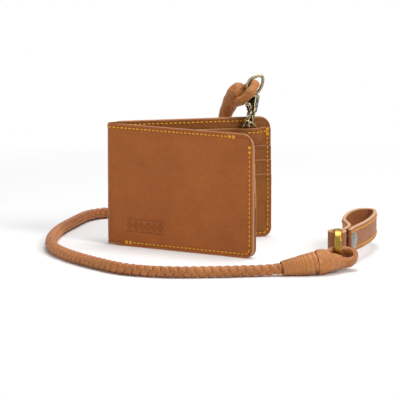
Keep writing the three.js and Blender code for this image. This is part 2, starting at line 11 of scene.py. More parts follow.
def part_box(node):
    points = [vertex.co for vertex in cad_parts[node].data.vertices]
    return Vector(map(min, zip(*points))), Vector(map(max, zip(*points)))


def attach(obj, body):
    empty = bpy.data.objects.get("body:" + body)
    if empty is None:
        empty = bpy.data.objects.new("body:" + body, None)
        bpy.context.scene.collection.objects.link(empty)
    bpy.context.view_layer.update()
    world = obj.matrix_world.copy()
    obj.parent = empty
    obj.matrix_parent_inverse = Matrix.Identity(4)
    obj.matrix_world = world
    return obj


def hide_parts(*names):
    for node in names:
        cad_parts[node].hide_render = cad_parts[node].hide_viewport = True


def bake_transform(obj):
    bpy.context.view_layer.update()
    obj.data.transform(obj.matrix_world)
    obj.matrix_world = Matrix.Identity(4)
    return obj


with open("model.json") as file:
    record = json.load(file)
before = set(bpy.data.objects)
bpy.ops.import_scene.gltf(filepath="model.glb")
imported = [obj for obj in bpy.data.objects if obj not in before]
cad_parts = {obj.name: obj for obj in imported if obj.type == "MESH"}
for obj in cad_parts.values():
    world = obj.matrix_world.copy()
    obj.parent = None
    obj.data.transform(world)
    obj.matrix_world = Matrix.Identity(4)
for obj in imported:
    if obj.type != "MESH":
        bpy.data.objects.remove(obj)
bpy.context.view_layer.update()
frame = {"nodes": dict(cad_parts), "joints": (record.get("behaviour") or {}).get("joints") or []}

# A bifold leather wallet on a braided leash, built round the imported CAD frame.
# Lengths in this file are millimetres until a mesh is made; MM turns them into metres.
MM = 0.001

# ---------------------------------------------------------------- reading the frame
JOINTS = {joint["name"]: joint for joint in frame["joints"]}


def pivot(joint):
    return np.array(JOINTS[joint]["pos_m"]) / MM


def box_mm(node):
    low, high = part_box(node)
    return np.array(low) / MM, np.array(high) / MM


def centre_of(node):
    low, high = box_mm(node)
    return (low + high) / 2


def mesh_points(mesh):
    return np.array([vertex.co for vertex in mesh.vertices], float) / MM


def node_points(node):
    return np.unique(np.round(mesh_points(frame["nodes"][node].data), 3), axis=0)


def unit(vector):
    vector = np.asarray(vector, float)
    return vector / np.linalg.norm(vector, axis=-1, keepdims=True)


def smoothstep(value):
    value = np.clip(value, 0, 1)
    return value * value * (3 - 2 * value)


def lerp(first, second, share):
    return first + (second - first) * share


def distances(points):
    """How far along a line of points each one lies."""
    return np.concatenate([[0], np.cumsum(np.linalg.norm(np.diff(points, axis=0), axis=1))])


def round_angles(count):
    return np.arange(count) / count * 2 * math.pi


def squared(wave, power):
    """A sine or cosine pushed towards -1 and 1, which gives a round outline fuller corners."""
    return np.sign(wave) * np.abs(wave) ** power


def make_piece(name, points, faces, material, weld=0.0, **attributes):
    """One mesh object from points in millimetres, with float attributes the materials read."""
    mesh = bpy.data.meshes.new(name)
    mesh.from_pydata((np.asarray(points, float) * MM).tolist(), [], faces)
    set_attributes(mesh, attributes)
    clean(mesh, weld)
    mesh.materials.append(material)
    obj = bpy.data.objects.new(name, mesh)
    bpy.context.scene.collection.objects.link(obj)
    return obj


def set_attributes(mesh, attributes):
    for key, values in attributes.items():
        layer = mesh.attributes.new(key, "FLOAT", "POINT")
        layer.data.foreach_set("value", np.asarray(values, np.float32))


def clean(mesh, weld):
    """Welds points closer than weld, turns the faces outwards and shades them smooth."""
    work = bmesh.new()
    work.from_mesh(mesh)
    if weld:
        bmesh.ops.remove_doubles(work, verts=work.verts, dist=weld * MM)
    bmesh.ops.recalc_face_normals(work, faces=work.faces)
    for face in work.faces:
        face.smooth = True
    work.to_mesh(mesh)
    work.free()


def tube_faces(stations, sides, first=0, closed=False):
    """Faces of a tube whose rings of points follow one another; its ends are capped unless it is closed."""
    faces = []
    for i in range(stations if closed else stations - 1):
        here = first + i * sides
        there = first + ((i + 1) % stations) * sides
        for j in range(sides):
            k = (j + 1) % sides
            faces.append((here + j, here + k, there + k, there + j))
    if not closed:
        last = first + (stations - 1) * sides
        faces.append(tuple(range(first + sides - 1, first - 1, -1)))
        faces.append(tuple(range(last, last + sides)))
    return faces


def join_tubes(rings_list, closed=False):
    """Points and faces of several tubes; each is an array of rings, (stations, sides, 3)."""
    points = []
    faces = []
    first = 0
    for rings in rings_list:
        stations, sides = rings.shape[:2]
        points.append(rings.reshape(-1, 3))
        faces += tube_faces(stations, sides, first, closed)
        first += stations * sides
    return np.concatenate(points), faces


def soft_copy(name, nodes, voxel, rounds, material, attributes=None, extra=()):
    """CAD solids and extra bodies joined, remeshed finely and relaxed, so that every edge is rounded."""
    work = bmesh.new()
    for node in nodes:
        work.from_mesh(frame["nodes"][node].data)
    for points, faces in extra:
        body = bpy.data.meshes.new("body")
        body.from_pydata((points * MM).tolist(), [], faces)
        clean(body, 0)
        work.from_mesh(body)
    mesh = bpy.data.meshes.new(name)
    work.to_mesh(mesh)
    work.free()
    obj = bpy.data.objects.new(name, mesh)
    bpy.context.scene.collection.objects.link(obj)
    remesh = obj.modifiers.new("remesh", "REMESH")
    remesh.mode = "VOXEL"
    remesh.voxel_size = voxel * MM
    relax = obj.modifiers.new("relax", "SMOOTH")
    relax.factor = 0.5
    relax.iterations = rounds
    depsgraph = bpy.context.evaluated_depsgraph_get()
    obj.data = bpy.data.meshes.new_from_object(obj.evaluated_get(depsgraph))
    obj.modifiers.clear()
    obj.data.name = name
    obj.data.materials.clear()
    obj.data.materials.append(material)
    if attributes:
        set_attributes(obj.data, attributes(mesh_points(obj.data)))
    clean(obj.data, 0)
    return obj


# ---------------------------------------------------------------- materials
def colour(code):
    """Linear colour from a six-digit sRGB code."""
    channels = [int(code[i:i + 2], 16) / 255 for i in (0, 2, 4)]
    linear = [c / 12.92 if c <= 0.04045 else ((c + 0.055) / 1.055) ** 2.4 for c in channels]
    return (*linear, 1.0)


def new_material(name):
    material = bpy.data.materials.new(name)
    material.use_nodes = True
    tree = material.node_tree
    tree.nodes.clear()
    surface = tree.nodes.new("ShaderNodeBsdfPrincipled")
    output = tree.nodes.new("ShaderNodeOutputMaterial")
    tree.links.new(surface.outputs["BSDF"], output.inputs["Surface"])
    return material, tree, surface


def add(tree, kind, inputs=None, **settings):
    """A node with its settings made and its inputs either linked or set."""
    node = tree.nodes.new("ShaderNode" + kind)
    for key, value in settings.items():
        setattr(node, key, value)
    for key, value in (inputs or {}).items():
        if isinstance(value, bpy.types.NodeSocket):
            tree.links.new(value, node.inputs[key])
        else:
            node.inputs[key].default_value = value
    return node


def mix_colour(tree, share, first, second, blend="MIX"):
    node = add(tree, "Mix", data_type="RGBA", blend_type=blend)
    for socket, value in ((node.inputs[0], share), (node.inputs[6], first), (node.inputs[7], second)):
        if isinstance(value, bpy.types.NodeSocket):
            tree.links.new(value, socket)
        else:
            socket.default_value = value
    return node.outputs[2]


def ramp(tree, value, low, high, to_low=0.0, to_high=1.0):
    settings = {"Value": value, "From Min": low, "From Max": high, "To Min": to_low, "To Max": to_high}
    return add(tree, "MapRange", settings).outputs["Result"]


def maths(tree, operation, first, second):
    return add(tree, "Math", {0: first, 1: second}, operation=operation).outputs[0]


def noise(tree, size, detail, roughness):
    """Noise whose features are about size millimetres across."""
    place = add(tree, "TexCoord").outputs["Object"]
    settings = {"Vector": place, "Scale": 1 / (size * MM), "Detail": detail, "Roughness": roughness}
    return add(tree, "TexNoise", settings).outputs["Fac"]


def attribute(tree, name):
    return add(tree, "Attribute", attribute_name=name).outputs["Fac"]


def leather(name, base, shade, edge, grain=0.9, roughness=0.52, relief=0.3):
    """Waxed vegetable-tanned leather: cloudy colour, fine pores, paler cut edges, and painted shade in its
    grooves, creases and gaps.

    The mesh attribute edge, and the one for painted shade, run from 0 to 1."""
    material, tree, surface = new_material(name)
    cloud = noise(tree, 24, 5, 0.6)
    fleck = noise(tree, 2.6, 6, 0.65)
    pores = add(tree, "TexVoronoi", {
        "Vector": add(tree, "TexCoord").outputs["Object"],
        "Scale": 1 / (grain * MM),
        "Randomness": 1.0,
    }).outputs["Distance"]
    tone = mix_colour(tree, ramp(tree, cloud, 0.36, 0.68, 0.0, 0.55), colour(base), colour(shade))
    tone = mix_colour(tree, ramp(tree, fleck, 0.45, 0.75, 0.0, 0.45), tone, colour(shade))
    tone = mix_colour(tree, ramp(tree, pores, 0.45, 0.85, 0.0, 0.35), tone, colour(shade))
    tone = mix_colour(tree, attribute(tree, "edge"), tone, colour(edge))
    # painted shade: the tone is darkened in grooves, creases and gaps by the mesh attribute read below
    painted_shade_tone = mix_colour(tree, 1.0, tone, (0.32, 0.26, 0.24, 1), "MULTIPLY")
    tone = mix_colour(tree, attribute(tree, "groove"), tone, painted_shade_tone)
    height = maths(tree, "ADD", maths(tree, "MULTIPLY", pores, -0.6), maths(tree, "MULTIPLY", fleck, 0.8))
    bump = add(tree, "Bump", {"Height": height, "Strength": relief, "Distance": 0.25 * MM})
    tree.links.new(tone, surface.inputs["Base Color"])
    gloss = ramp(tree, fleck, 0.3, 0.7, roughness - 0.07, roughness + 0.1)
    tree.links.new(gloss, surface.inputs["Roughness"])
    tree.links.new(bump.outputs[0], surface.inputs["Normal"])
    surface.inputs["Specular IOR Level"].default_value = 0.28
    return material


def cast_metal(name, bright, dark, roughness, wear=(0.47, 0.53)):
    """Plated metal whose recesses have darkened and whose edges are rubbed bright.

    Wear is the range of the mesh's pointiness over which the metal goes from dark to bright."""
    material, tree, surface = new_material(name)
    pointiness = add(tree, "NewGeometry").outputs["Pointiness"]
    mottling = noise(tree, 1.6, 5, 0.6)
    patches = ramp(tree, mottling, 0.3, 0.7, -0.08, 0.08)
    worn = ramp(tree, maths(tree, "ADD", ramp(tree, pointiness, *wear), patches), 0.0, 1.0)
    tone = mix_colour(tree, worn, colour(dark), colour(bright))
    pits = noise(tree, 0.35, 3, 0.5)
    bump = add(tree, "Bump", {"Height": pits, "Strength": 0.12, "Distance": 0.08 * MM})
    tree.links.new(tone, surface.inputs["Base Color"])
    gloss = ramp(tree, worn, 0.0, 1.0, roughness + 0.165, roughness)
    tree.links.new(gloss, surface.inputs["Roughness"])
    tree.links.new(bump.outputs[0], surface.inputs["Normal"])
    surface.inputs["Metallic"].default_value = 1.0
    return material


def thread_material(name, code):
    """Waxed linen thread with fine plies."""
    material, tree, surface = new_material(name)
    plies = noise(tree, 0.35, 2, 0.5)
    tone = mix_colour(tree, ramp(tree, plies, 0.35, 0.7, 0.0, 0.6), colour(code), colour("B47A08"))
    bump = add(tree, "Bump", {"Height": plies, "Strength": 0.3, "Distance": 0.1 * MM})
    tree.links.new(tone, surface.inputs["Base Color"])
    tree.links.new(bump.outputs[0], surface.inputs["Normal"])
    surface.inputs["Roughness"].default_value = 0.55
    return material


COVER = leather("cover_leather", "AE6227", "934F1E", "BC8862")
LINING = leather("lining_leather", "985A20", "77421A", "BC8862", grain=0.7)
BRAID = leather("braid_leather", "C07A42", "8A5028", "D0986A", grain=0.6, roughness=0.42, relief=0.22)
LACE = leather("lace_leather", "C07E46", "8E562A", "CE9666", grain=0.6, roughness=0.38, relief=0.22)
STRAP = leather("strap_leather", "A66A40", "885230", "CDA078", grain=0.7)
THREAD = thread_material("stitch_thread", "E8A40A")
ANTIQUE = cast_metal("antique_brass", "F6E2B4", "120D09", 0.2, wear=(0.499, 0.532))
BRIGHT = cast_metal("bright_brass", "BC9644", "54431D", 0.22, wear=(0.45, 0.54))
NICKEL = cast_metal("snap_nickel", "9E9B94", "55524D", 0.28, wear=(0.44, 0.52))
SPRING = cast_metal("spring_steel", "B9B9B6", "5C5B58", 0.3)

# ---------------------------------------------------------------- threads
THREAD_RADIUS = 0.5


def stitches(name, centres, alongs, normals, length):
    """One capsule for each stitch: it rises out of the leather, lies along the seam and dips in again."""
    stations = np.linspace(-1, 1, 7)[:, None, None]
    turn = round_angles(8)[:, None]
    swollen = 1 - 0.75 * stations ** 4
    lift = THREAD_RADIUS * (0.45 - 1.5 * stations ** 4)
    across = unit(np.cross(normals, alongs))
    rings_list = []
    for centre, along, normal, side in zip(centres, alongs, normals, across):
        spine = centre + stations * along * length / 2 + lift * normal
        ring = np.cos(turn) * side + 0.8 * np.sin(turn) * normal
        rings_list.append(spine + swollen * THREAD_RADIUS * ring[None])
    points, faces = join_tubes(rings_list)
    return make_piece(name, points, faces, THREAD)


# ---------------------------------------------------------------- wallet leaves
# A point on the leaves is given by its run, its height and its depth. The run is 0 where the back leaf
# meets the fold's arc, negative along the back leaf, and goes on past FOLD_RUN along the front leaf.
# The depth is the distance out from the plane through the fold's axis.
FOLD = pivot("wallet_fold")
OPENING = -math.radians(JOINTS["wallet_fold"]["range_deg"][0])
TURN = math.pi - OPENING
COVER_HIGH = box_mm("back_cover")[1]
LEAF_LENGTH = COVER_HIGH[0] - FOLD[0]
LEAF_HEIGHT = COVER_HIGH[2]
COVER_DEPTH = COVER_HIGH[1] - FOLD[1]
FOLD_RUN = TURN * (COVER_DEPTH - 0.6)
CORNER_TOP = 9.0
CORNER_BOTTOM = 7.0
SEAM_INSET = 3.0
BAND_MIDDLE = (28.0, 15.8)  # along the front leaf and up it
BAND_HALF_LENGTH = 15.6
BAND_HALF_HEIGHT = 4.6
BAND_STEP = 0.33  # spacing of the cover's points under the ornament
LOZENGES = 6
FOLD_TUCK = 1.1  # the leather draws in where it goes round the fold
FRONT_ALONG = np.array([math.cos(OPENING), -math.sin(OPENING)])
FRONT_OUT = np.array([-math.sin(OPENING), -math.cos(OPENING)])
FLUSH = 0.05  # the sheets are trimmed together, a hair inside the cover's edge
SHEET_GAP = 0.03  # between the sheets where the seam pulls them together


def bow(along, height):
    """How far the leather bows outwards between its edges."""
    length = np.sin(math.pi * np.clip(along / LEAF_LENGTH, 0, 1)) ** 1.5
    rise = np.sin(math.pi * np.clip(height / LEAF_HEIGHT, 0, 1))
    ripple = 0.12 * np.sin(along / 17 + height / 23) * rise
    return length * (0.35 * rise + ripple)


def on_leaves(run, height, depth):
    """Points in space for runs, heights and depths of the same shape."""
    run, height, depth = np.broadcast_arrays(np.asarray(run, float), height, depth)
    back = run < 0
    front = run > FOLD_RUN
    along = np.where(back, -run, np.where(front, run - FOLD_RUN, 0))
    depth = depth + bow(along, height)
    angle = math.pi / 2 + np.clip(run / FOLD_RUN, 0, 1) * TURN
    x = np.where(front, along * FRONT_ALONG[0] + depth * FRONT_OUT[0], along + depth * np.cos(angle))
    y = np.where(front, along * FRONT_ALONG[1] + depth * FRONT_OUT[1], depth * np.sin(angle))
    x = np.where(back, along, x)
    y = np.where(back, depth, y)
    return np.stack([x + FOLD[0], y + FOLD[1], height], axis=-1)


class Layer:
    """One sheet of a leaf: its depths, and its outline in run from the fold and height."""

    def __init__(self, node, thickness, top_radius, bottom_radius):
        low, high = box_mm("back_" + node)
        self.node = node
        self.thickness = thickness
        self.middle = high[1] - FOLD[1] - thickness / 2
        self.start = low[0] - FOLD[0]
        self.end = LEAF_LENGTH - (0 if node == "cover" else FLUSH)
        self.low = FLUSH if 0 < low[2] < 1 else low[2]
        self.high = high[2]
        self.top_radius = top_radius
        self.bottom_radius = bottom_radius

    def covers(self, along, height):
        return (self.start < along) & (along < self.end) & (self.low < height) & (height < self.high)


LAYERS = [
    Layer("cover", 1.2, CORNER_TOP, CORNER_BOTTOM),
    Layer("lining", 0.55, CORNER_TOP, CORNER_BOTTOM),
    Layer("inner_panel", 0.95, 2.0, CORNER_BOTTOM),
    Layer("pocket_upper", 0.72, 1.0, 1.0),
    Layer("pocket_middle", 0.72, 1.0, 1.0),
    Layer("pocket_front", 0.72, 1.0, CORNER_BOTTOM),
]
BY_NODE = {layer.node: layer for layer in LAYERS}
# Where each sheet lies once the stack is pulled together by the seam.
packed = LAYERS[0].middle + LAYERS[0].thickness / 2
for layer in LAYERS:
    layer.sewn = packed - layer.thickness / 2
    packed -= layer.thickness + SHEET_GAP

RING_LOW, RING_HIGH = box_mm("d_ring")
RING_ALONG = (RING_LOW[0] + RING_HIGH[0]) / 2 - FOLD[0]


def pinch(along, height):
    """1 where the seams pull the sheets together, 0 where they lie loose."""
    edge = np.minimum(LEAF_LENGTH - along, height)
    return smoothstep((16 - edge) / 12)


def bump_over_ring(along, height):
    """The inner panel swells over the leash's ring and its leather tab."""
    width = np.exp(-((along - RING_ALONG) / 9) ** 6)
    return 3.9 * width * smoothstep((height - BY_NODE["pocket_upper"].high + 0.3) / 5.7)


def layer_middle(layer, side, along, height):
    depth = lerp(layer.middle, layer.sewn, pinch(along, height))
    if layer.node == "inner_panel" and side == "back":
        depth = depth - bump_over_ring(along, height)
    if layer.node == "inner_panel":
        mouth = np.sin(math.pi * np.clip(along / LEAF_LENGTH, 0, 1)) * smoothstep((height - 60) / 22)
        depth = depth - 0.5 * mouth
    if layer.node.startswith("pocket"):
        lift = np.exp(-(layer.high - height) / 3) * np.sin(math.pi * np.clip(along / LEAF_LENGTH, 0, 1))
        depth = depth - 0.12 * lift
    return depth


def outline_distance(layer, along, height, open_start):
    """Distance in from the sheet's outline, with its rounded corners."""
    radius = np.where(height > (layer.low + layer.high) / 2, layer.top_radius, layer.bottom_radius)
    start_gap = np.full_like(along, 1e3) if open_start else along - layer.start
    to_side = np.minimum(layer.end - along, start_gap)
    radius = np.where(start_gap < layer.end - along, 0.5, radius)
    to_level = np.minimum(layer.high - height, height - layer.low)
    corner = radius - np.hypot(radius - to_side, radius - to_level)
    in_corner = (to_side < radius) & (to_level < radius)
    return np.maximum(np.where(in_corner, corner, np.minimum(to_side, to_level)), 0)


def rim_offsets(thickness):
    """Steps in from an edge: close together round the rim, then through the seam line."""
    angles = np.radians([0, 20, 38, 56, 74, 90])
    rim = thickness / 2 * (1 - np.cos(angles))
    return np.concatenate([rim, [1.1, 1.7, 2.3, 2.65, 3.0, 3.35, 3.7, 4.4, 5.6, 7.4, 9.6]])


def steps_between(offsets, span, spacing):
    """Positions from 0 to span: the offsets at both ends and even steps between them."""
    count = max(2, round((span - 2 * offsets[-1]) / spacing))
    middle = np.linspace(offsets[-1], span - offsets[-1], count + 1)[1:-1]
    return np.concatenate([offsets, middle, (span - offsets)[::-1]])


def corner_steps(radius):
    return radius * (1 - np.cos(np.radians(np.arange(8, 90, 9))))


def end_height(layer, along, top):
    """Height of the outline above or below a place along the leaf."""
    radius = layer.top_radius if top else layer.bottom_radius
    into = np.clip(along - (layer.end - radius), 0, radius)
    drop = radius - np.sqrt(np.maximum(radius ** 2 - into ** 2, 0))
    return layer.high - drop if top else layer.low + drop


def with_fine_steps(steps, middle, half_length):
    """Steps with the finer ones of the ornament put in where it lies."""
    band = middle + np.arange(-half_length - 1, half_length + 1, BAND_STEP)
    return np.sort(np.concatenate([steps[(steps < band[0]) | (steps > band[-1])], band]))


def sheet_points(layer, runs, alongs, open_start):
    """A grid of places on a sheet, its inset from the outline, its middle and its half thickness.

    Each run is one column of the grid."""
    offsets = rim_offsets(layer.thickness)
    rim = offsets[-1]
    from_fold = np.abs(np.where(runs < FOLD_RUN / 2, np.minimum(runs, 0), np.maximum(runs - FOLD_RUN, 0)))
    tuck = FOLD_TUCK * np.exp(-(from_fold / 3.0) ** 2) if open_start else 0.0
    low = end_height(layer, alongs, False) + tuck
    high = end_height(layer, alongs, True) - 0.6 * tuck
    full = layer.high - layer.low
    steps = steps_between(offsets, full, 3.4)
    if layer.node == "cover":
        steps = with_fine_steps(steps, BAND_MIDDLE[1], BAND_HALF_HEIGHT)
    share = steps / full
    span = (high - low)[:, None]
    steps = share[None, :] * full
    near_low = steps < full / 2
    heights = np.where(near_low, low[:, None] + steps, high[:, None] - (full - steps))
    middle_rows = (share > rim / full) & (share < 1 - rim / full)
    middle_share = (share[None, :] - rim / full) / (1 - 2 * rim / full)
    stretched = low[:, None] + rim + middle_share * (span - 2 * rim)
    heights = np.where(middle_rows[None, :], stretched, heights)
    along = np.repeat(alongs[:, None], heights.shape[1], axis=1)
    run = np.repeat(runs[:, None], heights.shape[1], axis=1)
    inset = outline_distance(layer, along, heights, open_start)
    rounding = np.clip(inset / (layer.thickness / 2), 0, 1)
    half = layer.thickness / 2 * (1 - (1 - rounding) ** 2.4) ** (1 / 2.4)
    back_middle = layer_middle(layer, "back", along, heights)
    middle = np.where(run < 0, back_middle, layer_middle(layer, "front", along, heights))
    return run, along, heights, inset, middle, half


def seam_dent(layer, along, height):
    """How far the thread pulls the leather in along the stitching."""
    side = LEAF_LENGTH - along
    line = np.minimum(np.abs(side - SEAM_INSET), np.abs(height - SEAM_INSET))
    if layer.node in ("cover", "lining"):
        line = np.minimum(line, np.abs(LEAF_HEIGHT - height - SEAM_INSET))
    return np.exp(-(line / 0.75) ** 2)


def tooled_band(along, height):
    """A plain pressed ornament: a row of lozenges with a dot in each, between two lines."""
    across = along - BAND_MIDDLE[0]
    up = np.abs(height - BAND_MIDDLE[1])
    pitch = 2 * BAND_HALF_LENGTH / LOZENGES
    in_cell = np.abs(np.mod(across + BAND_HALF_LENGTH, pitch) - pitch / 2)
    lozenge = np.abs(in_cell / (0.42 * pitch) + up / (0.66 * BAND_HALF_HEIGHT) - 1) * 1.6
    line = np.abs(up - BAND_HALF_HEIGHT)
    dot = np.maximum(np.hypot(in_cell, up) - 0.35, 0)
    nearest = np.minimum(np.minimum(lozenge, line), dot)
    return np.exp(-(nearest / 0.42) ** 2) * smoothstep((BAND_HALF_LENGTH + 0.4 - np.abs(across)) / 0.5)


def make_sheet(name, layer, runs, alongs, open_start, material):
    run, along, height, inset, middle, half = sheet_points(layer, runs, alongs, open_start)
    dent = seam_dent(layer, along, height)
    is_cover = layer.node == "cover"
    pressed = tooled_band(along, height) * (run > FOLD_RUN) if is_cover else 0 * dent
    sink = (0.22 if is_cover else 0.1) * dent * np.clip(inset, 0, 1) + 0.3 * pressed
    creased = 0 * dent
    if layer.node.startswith("pocket") or layer.node == "inner_panel":
        creased = np.exp(-((layer.high - height - 2.2) / 0.5) ** 2)
    outer = on_leaves(run, height, middle + half - (sink if is_cover else 0))
    inner = on_leaves(run, height, middle - half + (0 if is_cover else sink + 0.1 * creased))
    rings = np.concatenate([outer, inner[:, -2:0:-1]], axis=1)
    edge = 1 - smoothstep(inset / (0.55 * layer.thickness + 0.15))
    # painted shade: darker along the seam's dent, the crease below a pocket's top and the pressed
    # ornament's lines
    groove = 0.35 * dent + 0.3 * creased + 0.5 * pressed
    values = {}
    for key, value in (("edge", edge), ("groove", groove)):
        values[key] = np.concatenate([value, value[:, -2:0:-1]], axis=1).ravel()
    points, faces = join_tubes([rings])
    return make_piece(name, points, faces, material, weld=0.004, **values)


def leaf_columns(layer, open_start):
    """Places along a leaf for a sheet's columns of points, from its start to its free end."""
    offsets = rim_offsets(layer.thickness)
    ends = np.concatenate([offsets, corner_steps(layer.top_radius), corner_steps(layer.bottom_radius)])
    start = layer.start if not open_start else 0.0
    starts = np.array([0.0]) if open_start else offsets
    inner_end = layer.end - offsets[-1]
    inner_start = start + starts[-1]
    middle = np.linspace(inner_start, inner_end, max(3, round((inner_end - inner_start) / 3.2)))
    alongs = np.sort(np.concatenate([start + starts, middle, layer.end - ends]))
    keep = np.concatenate([[True], np.diff(alongs) > 0.012])
    return alongs[keep]


def fold_sheet(name, node, material):
    """A sheet that runs along the back leaf, round the fold and along the front leaf."""
    layer = BY_NODE[node]
    alongs = leaf_columns(layer, True)
    arc = np.linspace(0, FOLD_RUN, 19)
    front = alongs
    if node == "cover":
        front = with_fine_steps(alongs, BAND_MIDDLE[0], BAND_HALF_LENGTH)
    runs = np.concatenate([-alongs[::-1], arc[1:-1], FOLD_RUN + front])
    both = np.concatenate([alongs[::-1], np.zeros(len(arc) - 2), front])
    hair = 1e-6  # keeps the columns where the arc begins and ends on their leaf's side of it
    runs[len(alongs) - 1] = -hair
    runs[len(alongs) + len(arc) - 2] = FOLD_RUN + hair
    obj = make_sheet(name, layer, runs, both, True, material)
    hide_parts("back_" + node, "front_" + node)
    return blend_over_fold(obj)


def blend_over_fold(obj):
    """Bakes the piece's placement into its mesh."""
    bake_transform(obj)
    return obj


def leaf_sheet(side, node, material):
    layer = BY_NODE[node]
    alongs = leaf_columns(layer, False)
    runs = -alongs if side == "back" else FOLD_RUN + alongs
    obj = make_sheet(f"{side}_{node}_leather", layer, runs, alongs, False, material)
    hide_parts(f"{side}_{node}")
    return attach(obj, side + "_leaf")


def innermost_depth(side, along, height):
    """Depth of the face seen from inside the wallet."""
    depth = np.full_like(along, 1e3)
    for layer in LAYERS:
        face = layer_middle(layer, side, along, height) - layer.thickness / 2
        depth = np.where(layer.covers(along, height), np.minimum(depth, face), depth)
    return depth


STITCH_PITCH = 3.35
STITCH_LENGTH = 2.8
DOUBLED = 0.62  # how far the locking stitches at a seam's end lie beside it


def locking_pairs(first):
    """Where the stitches at a seam's end double up: how far aside, and how far back from the end."""
    return [(aside, back) for aside in (-DOUBLED, DOUBLED) for back in (first, first + STITCH_PITCH)]


def seam_line():
    """The seams of one leaf: each stitch's centre (along, height) and its direction."""
    top = LEAF_HEIGHT - SEAM_INSET
    side = LEAF_LENGTH - SEAM_INSET
    radius = CORNER_BOTTOM - SEAM_INSET
    top_end = LEAF_LENGTH - 15.5
    side_start = LEAF_HEIGHT - 10.0
    rows = [(along, top, 1, 0) for along in np.arange(STITCH_PITCH / 2, top_end, STITCH_PITCH)]
    rows += [(top_end - back, top + aside, 1, 0) for aside, back in locking_pairs(0.9)]
    side_heights = np.arange(side_start, SEAM_INSET + radius, -STITCH_PITCH)
    rows += [(side, height, 0, -1) for height in side_heights]
    rows += [(side + aside, side_start - back, 0, -1) for aside, back in locking_pairs(0.0)]
    for turn in np.radians([22, 67]):
        out, down = math.cos(turn), math.sin(turn)
        rows.append((side - radius + radius * out, SEAM_INSET + radius - radius * down, -down, -out))
    bottom = np.arange(side - radius - STITCH_PITCH / 2, 9.5, -STITCH_PITCH)
    rows += [(along, SEAM_INSET, -1, 0) for along in bottom]
    rows += [(bottom[-1] + back, SEAM_INSET + aside, -1, 0) for aside, back in locking_pairs(0.0)]
    return np.array(rows)


def panel_seam():
    """The short seam along the top of the inner panel, at its free end."""
    height = BY_NODE["inner_panel"].high - 3.2
    side = LEAF_LENGTH - SEAM_INSET
    rows = [(along, height, 1, 0) for along in side - 1.6 - STITCH_PITCH * np.arange(5)]
    return rows + [(side - 0.5, height - 1, 0, 1), (side + 0.5, height - 1.4, 0, 1)]


def wallet_stitches():
    """The thread of every seam of the wallet, seen on both faces of each leaf and round the fold."""
    rows = seam_line()
    centres = []
    for side in ("back", "front"):
        for inside in (False, True):
            centres += [stitch_frame(side, *row, inside) for row in rows]
        centres += [stitch_frame(side, *row, True) for row in panel_seam()]
    height = LEAF_HEIGHT - SEAM_INSET
    for run in np.arange(STITCH_PITCH / 2, FOLD_RUN, STITCH_PITCH):
        for inside in (False, True):
            depth = lining_face() if inside else COVER_DEPTH - 0.1
            here = on_leaves(run, height, depth)
            ahead = on_leaves(run + 0.2, height, depth)
            out = on_leaves(run, height, depth + 1) - here
            centres.append((here, unit(ahead - here), unit(-out if inside else out)))
    centre, along, normal = (np.array(column) for column in zip(*centres))
    obj = stitches("wallet_stitching", centre, along, normal, STITCH_LENGTH)
    return blend_over_fold(obj)


def lining_face():
    return BY_NODE["lining"].middle - BY_NODE["lining"].thickness / 2 + 0.05


def stitch_frame(side, along, height, step_along, step_height, inside):
    """A stitch's centre, direction and outward normal, on the cover or on the face inside."""
    def point(a, h, extra=0.0):
        depth = COVER_DEPTH - 0.15
        if inside:
            depth = float(innermost_depth(side, np.array([a]), np.array([h]))[0]) + 0.08
        run = -a if side == "back" else FOLD_RUN + a
        return on_leaves(run, h, depth + extra)
    here = point(along, height)
    ahead = point(along + 0.1 * step_along, height + 0.1 * step_height)
    out = point(along, height, 1.0) - here
    return here, unit(ahead - here), unit(-out if inside else out)


fold_sheet("cover_leather_sheet", "cover", COVER)
fold_sheet("lining_leather_sheet", "lining", LINING)
for side_name in ("back", "front"):
    for node_name in ("inner_panel", "pocket_upper", "pocket_middle", "pocket_front"):
        leaf_sheet(side_name, node_name, LINING)
wallet_stitches()

# ---------------------------------------------------------------- the cord's line
CORD_RADIUS = 4.25


def ring_centres(node, start, heading, clear_of=None):
    """Centres of a round CAD length's rings, found one after another from its start."""
    ring_size = 16
    points = node_points(node)
    if clear_of is not None:
        points = points[np.linalg.norm(points - clear_of, axis=1) > CORD_RADIUS + 0.2]
    place = np.array(start, float)
    heading = unit(heading)
    centres = []
    while True:
        ahead = (points - place) @ heading
        aside = np.linalg.norm(points - place - np.outer(ahead, heading), axis=1)
        near = (ahead > 2.5) & (ahead < 13) & (aside < 1.8 * CORD_RADIUS)
        if near.sum() < ring_size - 4:
            return np.array(centres)
        ring = np.flatnonzero(near)[np.argsort(ahead[near])][:ring_size]
        centre = points[ring].mean(axis=0)
        heading = unit(centre - place)
        place = centre
        centres.append(centre)


def smooth_line(points, spacing=0.5, softness=5.0):
    """A line through the points, evenly spaced and without kinks; its ends stay where they are."""
    lengths = distances(points)
    count = round(lengths[-1] / spacing) + 1
    places = np.linspace(0, lengths[-1], count)
    line = np.stack([np.interp(places, lengths, points[:, axis]) for axis in range(3)], axis=1)
    reach = round(3 * softness / spacing)
    kernel = np.exp(-0.5 * (np.arange(-reach, reach + 1) * spacing / softness) ** 2)
    kernel /= kernel.sum()
    before = 2 * line[0] - line[reach:0:-1]
    after = 2 * line[-1] - line[-2:-reach - 2:-1]
    padded = np.concatenate([before, line, after])
    return np.stack([np.convolve(padded[:, axis], kernel, "valid") for axis in range(3)], axis=1)


